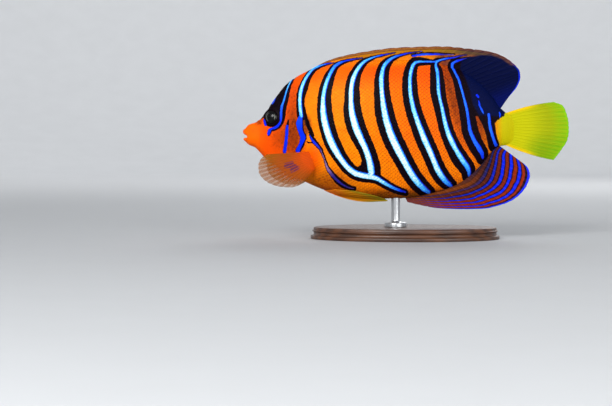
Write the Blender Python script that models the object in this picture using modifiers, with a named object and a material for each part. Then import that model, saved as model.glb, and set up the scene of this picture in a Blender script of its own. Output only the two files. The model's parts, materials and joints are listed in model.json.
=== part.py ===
"""A regal angelfish at life size, swimming level, held by one rod on a plain oval stand.

The fish faces -X, its left side faces -Y and its back is up. Lengths below are in millimetres. A place on the
fish is written as two lengths: how far it lies behind the tip of the upper lip, and how high it lies above
the level axis that runs through the body.
"""

from math import cos, pi, radians, sin

import bmesh
import bpy
import numpy as np
from mathutils import Matrix, Vector

MM = 0.001

# The whole fish
TOTAL_LENGTH = 220.4
AXIS_HEIGHT = 75.0
JOINT_GAP = 0.3

# The flesh: outlines of back and belly, half width, and height of the widest line, each along the body
BACK = [
    (3.0, 1.5), (4.1, 2.4), (9.1, 4.1), (12.2, 6.4), (14.0, 8.8), (16.7, 12.2), (18.9, 16.0), (23.2, 22.0),
    (28.9, 29.2), (34.4, 33.6), (45.9, 39.4), (59.5, 43.0), (76.5, 45.2), (96.8, 46.2), (113.8, 46.0),
    (127.4, 44.8), (141.0, 41.6), (153.2, 36.0), (162.7, 28.6), (169.5, 21.0), (174.3, 14.0), (178.0, 10.6),
]
BELLY = [
    (3.0, -10.5), (4.2, -11.4), (8.3, -13.2), (11.7, -16.7), (15.0, -20.6), (25.5, -27.5), (39.1, -35.0),
    (57.3, -42.6), (70.0, -45.6), (86.6, -47.5), (103.6, -47.9), (117.2, -46.5), (130.8, -43.6),
    (145.0, -38.6), (154.5, -32.2), (163.4, -23.0), (170.0, -15.0), (174.2, -12.4), (178.0, -11.8),
]
HALF_WIDTH = [
    (3.0, 5.1), (5.0, 5.7), (7.0, 6.1), (12.0, 7.2), (20.0, 9.4), (28.0, 11.5), (36.0, 13.4), (45.0, 15.2),
    (55.0, 16.5), (70.0, 17.4), (85.0, 17.1), (100.0, 15.8), (120.0, 12.8), (140.0, 9.2), (160.0, 5.9),
    (172.0, 4.2), (178.0, 3.4),
]
WIDEST_LINE = [(3.0, -6.2), (10.0, -6.2), (20.0, -5.5), (35.0, -4.0), (60.0, -2.0), (100.0, -1.0), (178.0, -0.7)]
# How blunt the section is above and below the widest line: under 1 is boxy, 1 is round, over 1 is keeled
BLUNT_ABOVE = [
    (3.0, 0.8), (9.0, 0.58), (14.0, 0.42), (20.0, 0.4), (26.0, 0.52), (40.0, 0.85), (80.0, 1.0), (178.0, 1.1),
]
BLUNT_BELOW = [(3.0, 0.9), (20.0, 0.85), (60.0, 0.8), (100.0, 0.85), (140.0, 1.05), (178.0, 1.1)]
FLESH_END = 178.0
TAIL_WEDGE = [(180.5, 0.92, 0.78), (183.0, 0.78, 0.5)]
TAIL_WEDGE_TIP = 184.2

# The lips, rolled round the mouth: centre and radius of each roll, and the corner of the mouth
UPPER_LIP = (2.2, -2.4, 2.2)
LOWER_LIP = (1.4, -7.6, 1.05)
MOUTH_CORNER = (4.2, 3.9, 1.1)
MOUTH_LEVEL = -6.2
MOUTH_DEPTH = 6.0
LIP_ROLL = (-25, 12, 50, 90, 130, 163)
SNOUT_LAG = [(3.0, 1.6), (5.0, 1.3), (7.0, 0.8), (11.0, 0.0), (178.0, 0.0)]

# How finely the flesh is divided, and the angle from which an edge between faces shows as sharp
SIDES = 36
HEAD_RINGS = 18
TRUNK_RINGS = 16
TAIL_RINGS = 4
SHARP_ANGLE = radians(45)

# The gill cover: its rear edge from nape to breast, and how far it stands out there
GILL_EDGE = [
    (30.0, 52.0), (33.8, 36.0), (36.0, 28.0), (39.5, 17.0), (42.0, 8.0), (44.0, 0.0), (45.0, -6.0),
    (43.6, -12.0), (42.2, -18.0), (38.5, -24.5), (32.5, -29.5), (27.0, -33.0), (22.0, -36.0),
]
GILL_GAP_SHIFT = (0.33, -0.1)
GILL_SWELL = 0.7
PREOPERCLE = [(30.6, 6.0), (30.7, 0.0), (30.2, -6.0), (29.4, -12.0), (28.2, -17.0), (25.5, -20.5), (21.5, -21.8)]
PREOPERCLE_RADIUS = 0.5
CHEEK_SPINE = ((27.4, -19.3), (36.8, -21.6))
CHEEK_SPINE_RADIUS = 1.1

# The eye: where its middle lies, its radius, half its thickness and how far it bulges
EYE_AT = (19.8, 7.4)
EYE_RADIUS = 5.0
EYE_HALF_DEPTH = 3.3
EYE_BULGE = 1.5
ORBIT_RADIUS = 6.2
ORBIT_HALF_DEPTH = 2.9
ORBIT_BULGE = 1.25
NOSTRILS = [(11.1, 4.4), (8.8, 2.5)]
NOSTRIL_RADIUS = 0.6

# The fleshy base that the pectoral fin grows from
SHOULDER_AT = (50.0, -20.5)
SHOULDER_SPREAD = (6.5, 11.0)
SHOULDER_SWELL = 1.8

# The cut between trunk and tail
TAIL_CUT = 163.0

# Fins: each pair is where a ray leaves the back or belly, and the two lengths of its tip
DORSAL_RAYS = [
    (37.5, 41.5, 37.4), (52.6, 61.0, 46.9), (73.0, 82.0, 51.6), (96.8, 107.0, 54.6), (120.6, 134.2, 55.2),
    (134.2, 153.2, 53.6), (144.3, 169.5, 50.9), (152.5, 181.0, 45.2), (159.3, 187.3, 38.0),
    (164.7, 187.7, 34.0), (167.8, 185.4, 27.8), (170.9, 182.4, 23.9), (173.6, 179.7, 20.7),
]
DORSAL_COUNT = 32
DORSAL_SPINES = 14
ANAL_RAYS = [
    (109.0, 112.0, -50.2), (115.0, 122.0, -52.5), (122.0, 134.2, -54.4), (131.4, 149.1, -54.9),
    (140.3, 162.7, -54.6), (147.1, 173.5, -52.4), (152.5, 182.4, -48.9), (157.3, 188.8, -43.8),
    (161.3, 192.9, -37.7), (165.0, 194.5, -31.9), (168.1, 193.3, -27.2), (172.0, 190.5, -24.1),
]
ANAL_COUNT = 21
ANAL_SPINES = 3
TAIL_TIPS = [
    (210.2, 17.6), (215.9, 15.4), (218.9, 9.5), (220.2, 3.4), (220.4, -2.4), (219.4, -8.1), (215.7, -14.3),
    (212.6, -18.6), (210.2, -21.5),
]
TAIL_ROOT = (176.0, 9.4, -10.6)
TAIL_COUNT = 17
TAIL_RAY_BOW = 1.3
PECTORAL_ROOT = [(46.4, -15.6), (48.6, -20.4), (49.6, -26.0)]
PECTORAL_TIPS = [
    (18.6, -17.4), (14.9, -20.4), (13.4, -24.6), (13.8, -29.2), (16.4, -33.4), (21.2, -36.8), (27.6, -38.9),
    (34.4, -39.4), (40.0, -38.0), (44.0, -35.0),
]
PECTORAL_COUNT = 16
PECTORAL_LEAN = 28.0
PECTORAL_SINK = 2.0
PECTORAL_CUP = 1.2
PELVIC_ROOT = [(55.5, -41.6), (60.0, -41.4)]
PELVIC_TIPS = [(88.0, -50.0), (98.6, -49.3), (95.5, -47.4), (90.0, -45.6), (83.5, -43.9), (76.5, -42.3)]
PELVIC_SAG = 2.4
PELVIC_CLEARANCE = 1.0
PELVIC_SOFTNESS = 0.03
PELVIC_SINK = 1.6

# Thickness of fins at root and margin, on a ray and between two
MEDIAN_FIN = {"ray": (2.6, 1.0), "web": (1.4, 0.55)}
PAIRED_FIN = {"ray": (2.4, 0.85), "web": (1.5, 0.5)}
PELVIC_FIN = {"ray": (1.5, 0.75), "web": (0.9, 0.5)}
FIN_ROWS = 6
FIN_SINK = 3.0
SPINE_NOTCH = 0.05

# The stand
BASE_HALF_LENGTH = 64.0
BASE_HALF_WIDTH = 38.0
BASE_HEIGHT = 8.0
BASE_ROUNDING = 1.2
ROD_AT = 104.0
ROD_RADIUS = 3.0
COLLAR_RADIUS = 7.5
COLLAR_HEIGHT = 3.0
ROD_TOP = -40.0

FISH = None
CUTTERS = None


def smooth_curve(points):
    """Returns a function of one length: a smooth curve through points that never overshoots between them."""
    xs, ys = np.array(points, float).T
    step = np.diff(xs)
    slope = np.diff(ys) / step
    lean = np.zeros_like(ys)
    lean[0], lean[-1] = slope[0], slope[-1]
    before, after = slope[:-1], slope[1:]
    same = before * after > 0
    lean[1:-1][same] = (2 * before * after / np.where(same, before + after, 1))[same]

    def curve(x):
        x = np.clip(np.asarray(x, float), xs[0], xs[-1])
        k = np.clip(np.searchsorted(xs, x) - 1, 0, len(xs) - 2)
        t = (x - xs[k]) / step[k]
        start = ys[k] * (1 + 2 * t) * (1 - t) ** 2 + lean[k] * step[k] * t * (1 - t) ** 2
        end = ys[k + 1] * t * t * (3 - 2 * t) + lean[k + 1] * step[k] * t * t * (t - 1)
        return start + end

    return curve


back = smooth_curve(BACK)
belly = smooth_curve(BELLY)
half_width = smooth_curve(HALF_WIDTH)
widest_line = smooth_curve(WIDEST_LINE)
blunt_above = smooth_curve(BLUNT_ABOVE)
blunt_below = smooth_curve(BLUNT_BELOW)
snout_lag = smooth_curve(SNOUT_LAG)


def place(along, across, up):
    """A point of the fish, in metres."""
    return Vector(((along - TOTAL_LENGTH / 2) * MM, across * MM, (up + AXIS_HEIGHT) * MM))


def bump(distance):
    """A smooth hill that is 1 at distance 0 and 0 from distance 1 on."""
    return np.clip(1 - distance**2, 0, 1) ** 2


def shoulder(along, up):
    """How far the base of the pectoral fin stands out from the flank."""
    away = np.hypot((along - SHOULDER_AT[0]) / SHOULDER_SPREAD[0], (up - SHOULDER_AT[1]) / SHOULDER_SPREAD[1])
    return SHOULDER_SWELL * bump(away)


def gill_swell(along, up):
    """How far the gill cover stands out near its rear edge, between nape and breast."""
    rise = np.clip((along - 31) / 10, 0, 1)
    return GILL_SWELL * rise * rise * bump((up + 8) / 30)


def relief(along, up):
    """How far the flesh stands out from its plain sections."""
    return shoulder(along, up) + gill_swell(along, up)


def flank(along, up):
    """Half width of the flesh at a place seen from the side, 0 beyond its outline."""
    middle = widest_line(along)
    edge = np.where(up > middle, back(along), belly(along))
    blunt = np.where(up > middle, blunt_above(along), blunt_below(along))
    reach = np.clip(1 - ((up - middle) / (edge - middle)) ** 2, 0, 1)
    across = half_width(along) * reach ** (blunt / 2)
    return across + relief(along, up) * np.clip(across / 4, 0, 1)


def flank_normal(along, up):
    """The outward direction of the flank on the fish's +Y side."""
    step = 0.5
    ahead = (flank(along + step, up) - flank(along - step, up)) / (2 * step)
    above = (flank(along, up + step) - flank(along, up - step)) / (2 * step)
    return Vector((-ahead, 1, -above)).normalized()


def lip_ring(roll):
    """Top, bottom and side of a ring on the lips; roll 0 faces the mouth's opening and 90 faces forward."""
    turn = radians(roll)
    ahead, outward = -sin(turn), -cos(turn)
    top = (UPPER_LIP[0] + UPPER_LIP[2] * ahead, UPPER_LIP[1] + UPPER_LIP[2] * outward)
    low = (LOWER_LIP[0] + LOWER_LIP[2] * ahead, LOWER_LIP[1] - LOWER_LIP[2] * outward)
    side = (MOUTH_CORNER[0] + MOUTH_CORNER[2] * ahead, MOUTH_CORNER[1] + MOUTH_CORNER[2] * outward)
    return top, low, (*side, MOUTH_LEVEL), 0.9, 0.9


def flesh_ring(along):
    """Top, bottom and side of a ring of the flesh, with how blunt it is above and below."""
    top = (along, float(back(along)))
    low = (along, float(belly(along)))
    side = (along + float(snout_lag(along)), float(half_width(along)), float(widest_line(along)))
    return top, low, side, float(blunt_above(along)), float(blunt_below(along))


def wedge_ring(along, height, width):
    """A ring of the wedge that the tail fin's rays grow over."""
    top, low, side, above, below = flesh_ring(FLESH_END)
    middle = side[2]
    top = (along, middle + (top[1] - middle) * height)
    low = (along, middle + (low[1] - middle) * height)
    return top, low, (along, side[1] * width, middle), above, below


def flesh_rings():
    """Every ring from the mouth to the tail."""
    stations = np.concatenate(
        [
            3 + (50 - 3) * np.linspace(0, 1, HEAD_RINGS, endpoint=False) ** 1.1,
            np.linspace(50, 163, TRUNK_RINGS, endpoint=False),
            np.linspace(163, FLESH_END, TAIL_RINGS + 1),
        ]
    )
    rings = [lip_ring(roll) for roll in LIP_ROLL]
    rings += [flesh_ring(along) for along in stations]
    rings += [wedge_ring(*wedge) for wedge in TAIL_WEDGE]
    return rings


def ring_point(ring, angle):
    """A point of a ring; angle 0 is the back and 90 degrees is the +Y side."""
    top, low, side, above, below = ring
    height = cos(angle)
    edge, blunt = (top, above) if height > 0 else (low, below)
    along = side[0] + (edge[0] - side[0]) * height * height
    up = side[2] + (edge[1] - side[2]) * abs(height)
    across = side[1] * abs(sin(angle)) ** blunt
    across += float(relief(along, up)) * min(1, across / 4)
    return place(along, across if sin(angle) > 0 else -across, up)


def new_object(name, bm, collection):
    """Makes an object from a bmesh, with smooth faces."""
    mesh = bpy.data.meshes.new(name)
    bm.to_mesh(mesh)
    bm.free()
    mesh.shade_smooth()
    mesh.set_sharp_from_angle(angle=SHARP_ANGLE)
    ob = bpy.data.objects.new(name, mesh)
    collection.objects.link(ob)
    return ob


def flesh(name, collection, grow=0.0):
    """The whole body of flesh: a UV sphere whose rings are moved to the fish's sections."""
    rings = flesh_rings()
    bm = bmesh.new()
    bmesh.ops.create_uvsphere(bm, u_segments=SIDES, v_segments=len(rings) + 1, radius=1)
    for vert in bm.verts:
        where = Vector(vert.co)
        number = round(np.arccos(np.clip(where.z, -1, 1)) / pi * (len(rings) + 1))
        if number == 0:
            vert.co = place(MOUTH_DEPTH, 0, MOUTH_LEVEL)
        elif number > len(rings):
            vert.co = place(TAIL_WEDGE_TIP, 0, rings[-1][2][2])
        else:
            vert.co = ring_point(rings[number - 1], np.arctan2(where.y, where.x))
    bmesh.ops.triangulate(bm, faces=bm.faces)
    if grow:
        bm.normal_update()
        moves = [vert.normal * grow * MM for vert in bm.verts]
        for vert, move in zip(bm.verts, moves):
            vert.co += move
    return new_object(name, bm, collection)


def baked(ob):
    """Replaces an object's mesh and modifiers by its evaluated mesh."""
    mesh = bpy.data.meshes.new_from_object(ob.evaluated_get(bpy.context.evaluated_depsgraph_get()))
    mesh.set_sharp_from_angle(angle=SHARP_ANGLE)
    ob.modifiers.clear()
    old, ob.data = ob.data, mesh
    bpy.data.meshes.remove(old)
    return ob


def largest_surface(ob):
    """Keeps only the largest closed surface of an object."""
    bm = bmesh.new()
    bm.from_mesh(ob.data)
    left = set(bm.verts)
    groups = []
    while left:
        group, edge = set(), [left.pop()]
        while edge:
            vert = edge.pop()
            group.add(vert)
            near = [link.other_vert(vert) for link in vert.link_edges]
            fresh = [other for other in near if other in left]
            left.difference_update(fresh)
            edge.extend(fresh)
        groups.append(group)
    groups.sort(key=len)
    for group in groups[:-1]:
        bmesh.ops.delete(bm, geom=list(group), context="VERTS")
    bm.to_mesh(ob.data)
    bm.free()
    return ob


def combined(ob, operation, tools, solver="EXACT"):
    """Joins, cuts or intersects an object with closed tools, which are then removed."""
    group = bpy.data.collections.new("tools")
    for tool in tools:
        group.objects.link(tool)
    step = ob.modifiers.new(operation.title(), "BOOLEAN")
    step.operation = operation
    step.operand_type = "COLLECTION"
    step.collection = group
    step.solver = solver
    baked(ob)
    for tool in tools:
        bpy.data.objects.remove(tool)
    bpy.data.collections.remove(group)
    return largest_surface(ob)


def copy_of(ob, shift=(0, 0, 0)):
    """A copy of an object with its own mesh, moved by shift millimetres."""
    twin = bpy.data.objects.new(ob.name + "_copy", ob.data.copy())
    twin.data.transform(Matrix.Translation(Vector(shift) * MM))
    CUTTERS.objects.link(twin)
    return twin


def as_mesh(curve_ob):
    """Turns a curve object into a closed mesh object in the same place."""
    mesh = bpy.data.meshes.new_from_object(curve_ob.evaluated_get(bpy.context.evaluated_depsgraph_get()))
    bm = bmesh.new()
    bm.from_mesh(mesh)
    bmesh.ops.remove_doubles(bm, verts=bm.verts, dist=0.00001)
    bmesh.ops.recalc_face_normals(bm, faces=bm.faces)
    bm.transform(curve_ob.matrix_world)
    name = curve_ob.name
    bpy.data.objects.remove(curve_ob)
    return new_object(name, bm, CUTTERS)


def side_view_prism(name, outline, half_depth=60.0):
    """A flat outline seen from the side, made as deep as the fish is wide and more."""
    data = bpy.data.curves.new(name, "CURVE")
    data.dimensions = "2D"
    data.fill_mode = "BOTH"
    data.extrude = half_depth * MM
    line = data.splines.new("POLY")
    line.points.add(len(outline) - 1)
    for point, (along, up) in zip(line.points, outline):
        where = place(along, 0, up)
        point.co = (where.x, where.z, 0, 1)
    line.use_cyclic_u = True
    ob = bpy.data.objects.new(name, data)
    ob.rotation_euler = (radians(90), 0, 0)
    CUTTERS.objects.link(ob)
    bpy.context.view_layer.update()
    return as_mesh(ob)


def material(name, colour, roughness, metallic=0.0):
    """A Principled material of one colour."""
    mat = bpy.data.materials.new(name)
    mat.use_nodes = True
    shader = mat.node_tree.nodes["Principled BSDF"]
    shader.inputs["Base Color"].default_value = (*colour, 1)
    shader.inputs["Roughness"].default_value = roughness
    shader.inputs["Metallic"].default_value = metallic
    mat.diffuse_color = (*colour, 1)
    return mat


def painted(ob, mat):
    """Gives an object its one material."""
    ob.data.materials.clear()
    ob.data.materials.append(mat)
    return ob


def gill_prism(name, shift=(0.0, 0.0)):
    """All that lies in front of the gill cover's rear edge."""
    edge = [(along + shift[0], up + shift[1]) for along, up in GILL_EDGE]
    curve = smooth_curve([(-up, along) for along, up in edge])
    ups = np.linspace(edge[0][1], edge[-1][1], 40)
    outline = [(float(curve(-up)), up) for up in ups]
    return side_view_prism(name, [(-20, edge[-1][1]), (-20, edge[0][1])] + outline)


def orbit_frame(sink):
    """The right eye's place and turn: its own Z points out of the head."""
    outward = flank_normal(*EYE_AT)
    surface = place(EYE_AT[0], float(flank(*EYE_AT)), EYE_AT[1])
    turn = Vector((0, 0, 1)).rotation_difference(outward).to_matrix().to_4x4()
    return Matrix.Translation(surface - outward * sink * MM) @ turn


def mirrored(ob, name, collection):
    """The same piece on the fish's left side."""
    bm = bmesh.new()
    bm.from_mesh(ob.data)
    bm.transform(Matrix.Diagonal((1, -1, 1, 1)))
    bmesh.ops.reverse_faces(bm, faces=bm.faces)
    return new_object(name, bm, collection)


def both_sides(make):
    """A piece of the right side and its mirror image."""
    right = make()
    return [right, mirrored(right, right.name + "_left", CUTTERS)]


def flat_ball(name, collection, radius, half_depth, bulge):
    """A flattened ball at the eye's place, which stands out of the flesh by bulge."""
    bm = bmesh.new()
    bmesh.ops.create_uvsphere(bm, u_segments=24, v_segments=14, radius=1)
    size = Matrix.Diagonal((radius * MM, radius * MM, half_depth * MM, 1))
    bm.transform(orbit_frame(half_depth - bulge) @ size)
    return new_object(name, bm, collection)


def eyeball(name, collection, grow=0.0):
    """The eyeball, which bulges a little from its socket."""
    return flat_ball(name, collection, EYE_RADIUS + grow, EYE_HALF_DEPTH + grow, EYE_BULGE + grow)


def orbit():
    """The low mound of flesh round the eye, whose edge is left as a rim when the socket is cut."""
    return flat_ball("orbit", CUTTERS, ORBIT_RADIUS, ORBIT_HALF_DEPTH, ORBIT_BULGE)


def nostril(along, up):
    """The pit of one nostril."""
    bm = bmesh.new()
    bmesh.ops.create_uvsphere(bm, u_segments=8, v_segments=6, radius=NOSTRIL_RADIUS * MM)
    bm.transform(Matrix.Translation(place(along, float(flank(along, up)), up)))
    return new_object("nostril", bm, CUTTERS)


def preopercle():
    """The ridge along the rear edge of the cheek plate, half sunk in the skin."""
    data = bpy.data.curves.new("preopercle", "CURVE")
    data.dimensions = "3D"
    data.bevel_depth = PREOPERCLE_RADIUS * MM
    data.bevel_resolution = 1
    data.use_fill_caps = True
    line = data.splines.new("POLY")
    line.points.add(len(PREOPERCLE) - 1)
    for number, (point, (along, up)) in enumerate(zip(line.points, PREOPERCLE)):
        at_end = number in (0, len(PREOPERCLE) - 1)
        depth = 0.9 if at_end else 0.1
        point.co = (*place(along, float(flank(along, up)) - depth, up), 1)
        point.radius = 0.5 if at_end else 1
    ob = bpy.data.objects.new("preopercle", data)
    CUTTERS.objects.link(ob)
    bpy.context.view_layer.update()
    return as_mesh(ob)


def cheek_spine():
    """The strong spine at the cheek plate's lower corner, pointing back over the gill cover."""
    ends = []
    for (along, up), lift in zip(CHEEK_SPINE, (-0.4, 1.0)):
        ends.append(place(along, float(flank(along, up)) + lift, up))
    run = ends[1] - ends[0]
    bm = bmesh.new()
    bmesh.ops.create_cone(
        bm, segments=8, radius1=CHEEK_SPINE_RADIUS * MM, radius2=0.15 * MM, depth=run.length, cap_ends=True
    )
    turn = Vector((0, 0, 1)).rotation_difference(run).to_matrix().to_4x4()
    bm.transform(Matrix.Translation((ends[0] + ends[1]) / 2) @ turn)
    return new_object("cheek_spine", bm, CUTTERS)


def fin(name, where, count, sizes, skin, spines=0):
    """A fin: a grid from root to margin, with a raised ray in every second column, cut to fit the flesh.

    where gives the place, in millimetres, of a share of the way from the first ray to the last and a share of
    the way from root to tip. The rays are ridges in the web's own surface, and the margin is notched between
    spines.
    """
    columns = 2 * count - 2
    bm = bmesh.new()
    bmesh.ops.create_grid(bm, x_segments=columns, y_segments=FIN_ROWS, size=1)
    weights = bm.verts.layers.deform.verify()
    thickest = max(sizes["ray"])
    for vert in bm.verts:
        share, out = (vert.co.x + 1) / 2, (vert.co.y + 1) / 2
        column = round(share * columns)
        on_ray = column % 2 == 0
        notched = not on_ray and column < 2 * spines
        vert.co = place(*where(share, out * (1 - SPINE_NOTCH * out) if notched else out))
        thick, thin = sizes["ray"] if on_ray else sizes["web"]
        vert[weights][0] = (thick + (thin - thick) * out**0.6) / thickest
    bmesh.ops.triangulate(bm, faces=bm.faces)
    ob = new_object(name, bm, FISH)
    ob.vertex_groups.new(name="thickness")
    wall = ob.modifiers.new("Wall", "SOLIDIFY")
    wall.thickness = thickest * MM
    wall.offset = 0
    wall.vertex_group = "thickness"
    wall.thickness_vertex_group = 0
    baked(ob)
    bm = bmesh.new()
    bm.from_mesh(ob.data)
    bmesh.ops.recalc_face_normals(bm, faces=bm.faces)
    bm.to_mesh(ob.data)
    bm.free()
    return combined(ob, "DIFFERENCE", [copy_of(skin)])


def along_points(points):
    """A smooth path through points, as a function of the share of the way from first to last."""
    shares = np.linspace(0, 1, len(points))
    parts = [smooth_curve(list(zip(shares, values))) for values in zip(*points)]
    return lambda share: np.array([float(part(share)) for part in parts])


def hill(out):
    """A low arch over the length of a ray: 0 at both ends and 1 half way."""
    return 4 * out * (1 - out)


def median_fin(name, rays, count, spines, edge, inward, skin):
    """A fin in the plane of symmetry, whose rays leave the back or the belly."""
    path = along_points(rays)

    def where(share, out):
        start, along, up = path(share)
        rise = float(edge(start)) + inward * FIN_SINK
        return start + (along - start) * out, 0, rise + (up - rise) * out

    return fin(name, where, count, MEDIAN_FIN, skin, spines)


def tail_fin(name, skin):
    """The rounded tail fin, whose rays spread from the end of the tail."""
    tips = along_points(TAIL_TIPS)
    start, top, low = TAIL_ROOT

    def where(share, out):
        along, up = tips(share)
        rise = top + (low - top) * share
        bow = TAIL_RAY_BOW * (1 - 2 * share) * hill(out)
        return start + (along - start) * out, 0, rise + (up - rise) * out + bow

    return fin(name, where, TAIL_COUNT, MEDIAN_FIN, skin)


def pectoral_fin(name, skin):
    """A pectoral fin swept forward and out from the shoulder, as in a braking stroke."""
    roots, tips = along_points(PECTORAL_ROOT), along_points(PECTORAL_TIPS)
    spread = np.tan(radians(PECTORAL_LEAN))

    def where(share, out):
        root, tip = roots(share), tips(share)
        along, up = root + (tip - root) * out
        across = float(flank(*root)) - PECTORAL_SINK + (np.hypot(*(tip - root)) * spread + PECTORAL_SINK) * out
        return along + PECTORAL_SINK / 2 * (1 - out), across + PECTORAL_CUP * hill(out), up

    return fin(name, where, PECTORAL_COUNT, PAIRED_FIN, skin)


def pelvic_fin(name, skin):
    """A pelvic fin folded back along the belly, which it follows with a small gap."""
    roots, tips = along_points(PELVIC_ROOT), along_points(PELVIC_TIPS)

    def where(share, out):
        root, tip = roots(share), tips(share)
        along, up = root + (tip - root) * out
        up -= PELVIC_SAG * hill(out) * (1 - share)
        middle = widest_line(along)
        reach = 1 - ((up - middle) / (belly(along) - middle)) ** 2
        reach = (reach + np.hypot(reach, PELVIC_SOFTNESS)) / 2
        across = float(half_width(along) * reach ** (blunt_below(along) / 2))
        lift = -PELVIC_SINK + (PELVIC_SINK + PELVIC_CLEARANCE) * min(1, out / 0.2)
        return along, across + lift, up

    return fin(name, where, 6, PELVIC_FIN, skin, spines=1)


def stand_base(name):
    """A plain oval plate."""
    bm = bmesh.new()
    bmesh.ops.create_cone(bm, segments=56, radius1=1, radius2=1, depth=1, cap_ends=True)
    size = Matrix.Diagonal((BASE_HALF_LENGTH * MM, BASE_HALF_WIDTH * MM, BASE_HEIGHT * MM, 1))
    bm.transform(Matrix.Translation((0, 0, BASE_HEIGHT / 2 * MM)) @ size)
    ob = new_object(name, bm, FISH)
    edge = ob.modifiers.new("Edge", "BEVEL")
    edge.width = BASE_ROUNDING * MM
    edge.segments = 2
    edge.limit_method = "ANGLE"
    edge.angle_limit = radians(60)
    return ob


def stand_rod(name, skin):
    """A round rod with a collar at its foot, its top shaped to the belly that it carries."""
    low = BASE_HEIGHT + JOINT_GAP
    high = AXIS_HEIGHT + ROD_TOP
    profile = [
        (0, high), (ROD_RADIUS, high), (ROD_RADIUS, low + COLLAR_HEIGHT + 1.5), (ROD_RADIUS + 1.2, low + COLLAR_HEIGHT),
        (COLLAR_RADIUS - 0.8, low + COLLAR_HEIGHT), (COLLAR_RADIUS, low + COLLAR_HEIGHT - 0.8), (COLLAR_RADIUS, low),
        (0, low),
    ]
    bm = bmesh.new()
    corners = [bm.verts.new((radius * MM, 0, height * MM)) for radius, height in profile]
    for first, second in zip(corners, corners[1:]):
        bm.edges.new((first, second))
    ob = new_object(name, bm, FISH)
    turn = ob.modifiers.new("Turn", "SCREW")
    turn.steps = turn.render_steps = 24
    turn.use_merge_vertices = True
    turn.merge_threshold = 0.00001
    baked(ob)
    ob.data.transform(Matrix.Translation(((ROD_AT - TOTAL_LENGTH / 2) * MM, 0, 0)))
    return combined(ob, "DIFFERENCE", [copy_of(skin)])


def build():
    """Builds every sub-part of the fish and its stand."""
    skin = flesh("skin_gap", CUTTERS, grow=JOINT_GAP)
    orange = material("orange_skin", (0.85, 0.28, 0.02), 0.45)
    striped = material("striped_skin", (0.9, 0.42, 0.04), 0.4)
    yellow = material("yellow_fin", (0.75, 0.68, 0.05), 0.45)
    navy = material("navy_fin", (0.03, 0.04, 0.22), 0.4)
    banded = material("banded_fin", (0.3, 0.1, 0.12), 0.4)
    clear = material("clear_fin", (0.75, 0.42, 0.12), 0.4)
    dark = material("eye_black", (0.02, 0.02, 0.03), 0.08)
    wood = material("stand_wood", (0.16, 0.08, 0.04), 0.4)
    steel = material("stand_steel", (0.6, 0.6, 0.6), 0.3, 1.0)

    head = flesh("head", FISH)
    combined(head, "INTERSECT", [gill_prism("before_gill")])
    raised = [piece for make in (orbit, preopercle, cheek_spine) for piece in both_sides(make)]
    combined(head, "UNION", raised)
    pits = [piece for where in NOSTRILS for piece in both_sides(lambda: nostril(*where))]
    sockets = both_sides(lambda: eyeball("socket", CUTTERS, grow=JOINT_GAP))
    combined(head, "DIFFERENCE", pits + sockets)
    painted(head, orange)

    tail_outline = [(TAIL_CUT, -60), (TAIL_CUT, 60), (TAIL_CUT + 60, 60), (TAIL_CUT + 60, -60)]
    tail = flesh("tail_peduncle", FISH)
    combined(tail, "INTERSECT", [side_view_prism("tail_side", tail_outline)])
    painted(tail, striped)

    torso = flesh("torso", FISH)
    before_tail = [(along - JOINT_GAP, up) for along, up in tail_outline]
    gaps = [gill_prism("gill_gap", GILL_GAP_SHIFT), side_view_prism("tail_gap", before_tail)]
    painted(combined(torso, "DIFFERENCE", gaps), striped)

    painted(median_fin("dorsal_fin", DORSAL_RAYS, DORSAL_COUNT, DORSAL_SPINES, back, -1, skin), navy)
    painted(median_fin("anal_fin", ANAL_RAYS, ANAL_COUNT, ANAL_SPINES, belly, 1, skin), banded)
    painted(tail_fin("caudal_fin", skin), yellow)
    pairs = {
        "pectoral_fin": (pectoral_fin("pectoral_fin_right", skin), clear),
        "pelvic_fin": (pelvic_fin("pelvic_fin_right", skin), orange),
        "eye": (eyeball("eye_right", FISH), dark),
    }
    for name, (right, mat) in pairs.items():
        painted(right, mat)
        painted(mirrored(right, name + "_left", FISH), mat)

    painted(stand_base("stand_base"), wood)
    painted(stand_rod("stand_rod", skin), steel)
    bpy.data.objects.remove(skin)


for old in list(bpy.data.objects):
    bpy.data.objects.remove(old)
FISH = bpy.data.collections.new("Regal angelfish")
CUTTERS = bpy.data.collections.new("Cutters")
bpy.context.scene.collection.children.link(FISH)
bpy.context.scene.collection.children.link(CUTTERS)
build()
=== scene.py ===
# %% [markdown]
# A regal angelfish at life size, on a plain display stand.
#
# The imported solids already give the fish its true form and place. This script dresses them: one smooth skin
# instead of the three blocks of flesh, thousands of thin overlapping scales, fins with rays, wet eyes and a
# well-finished stand. Every piece is worked out from the same outlines as the solids, in millimetres along
# the body, across it and up from its level axis, so that nothing has to be fitted by eye.

# %% Load the frame
import json

import bmesh
import bpy
import numpy as np
from mathutils import Matrix, Vector

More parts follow.
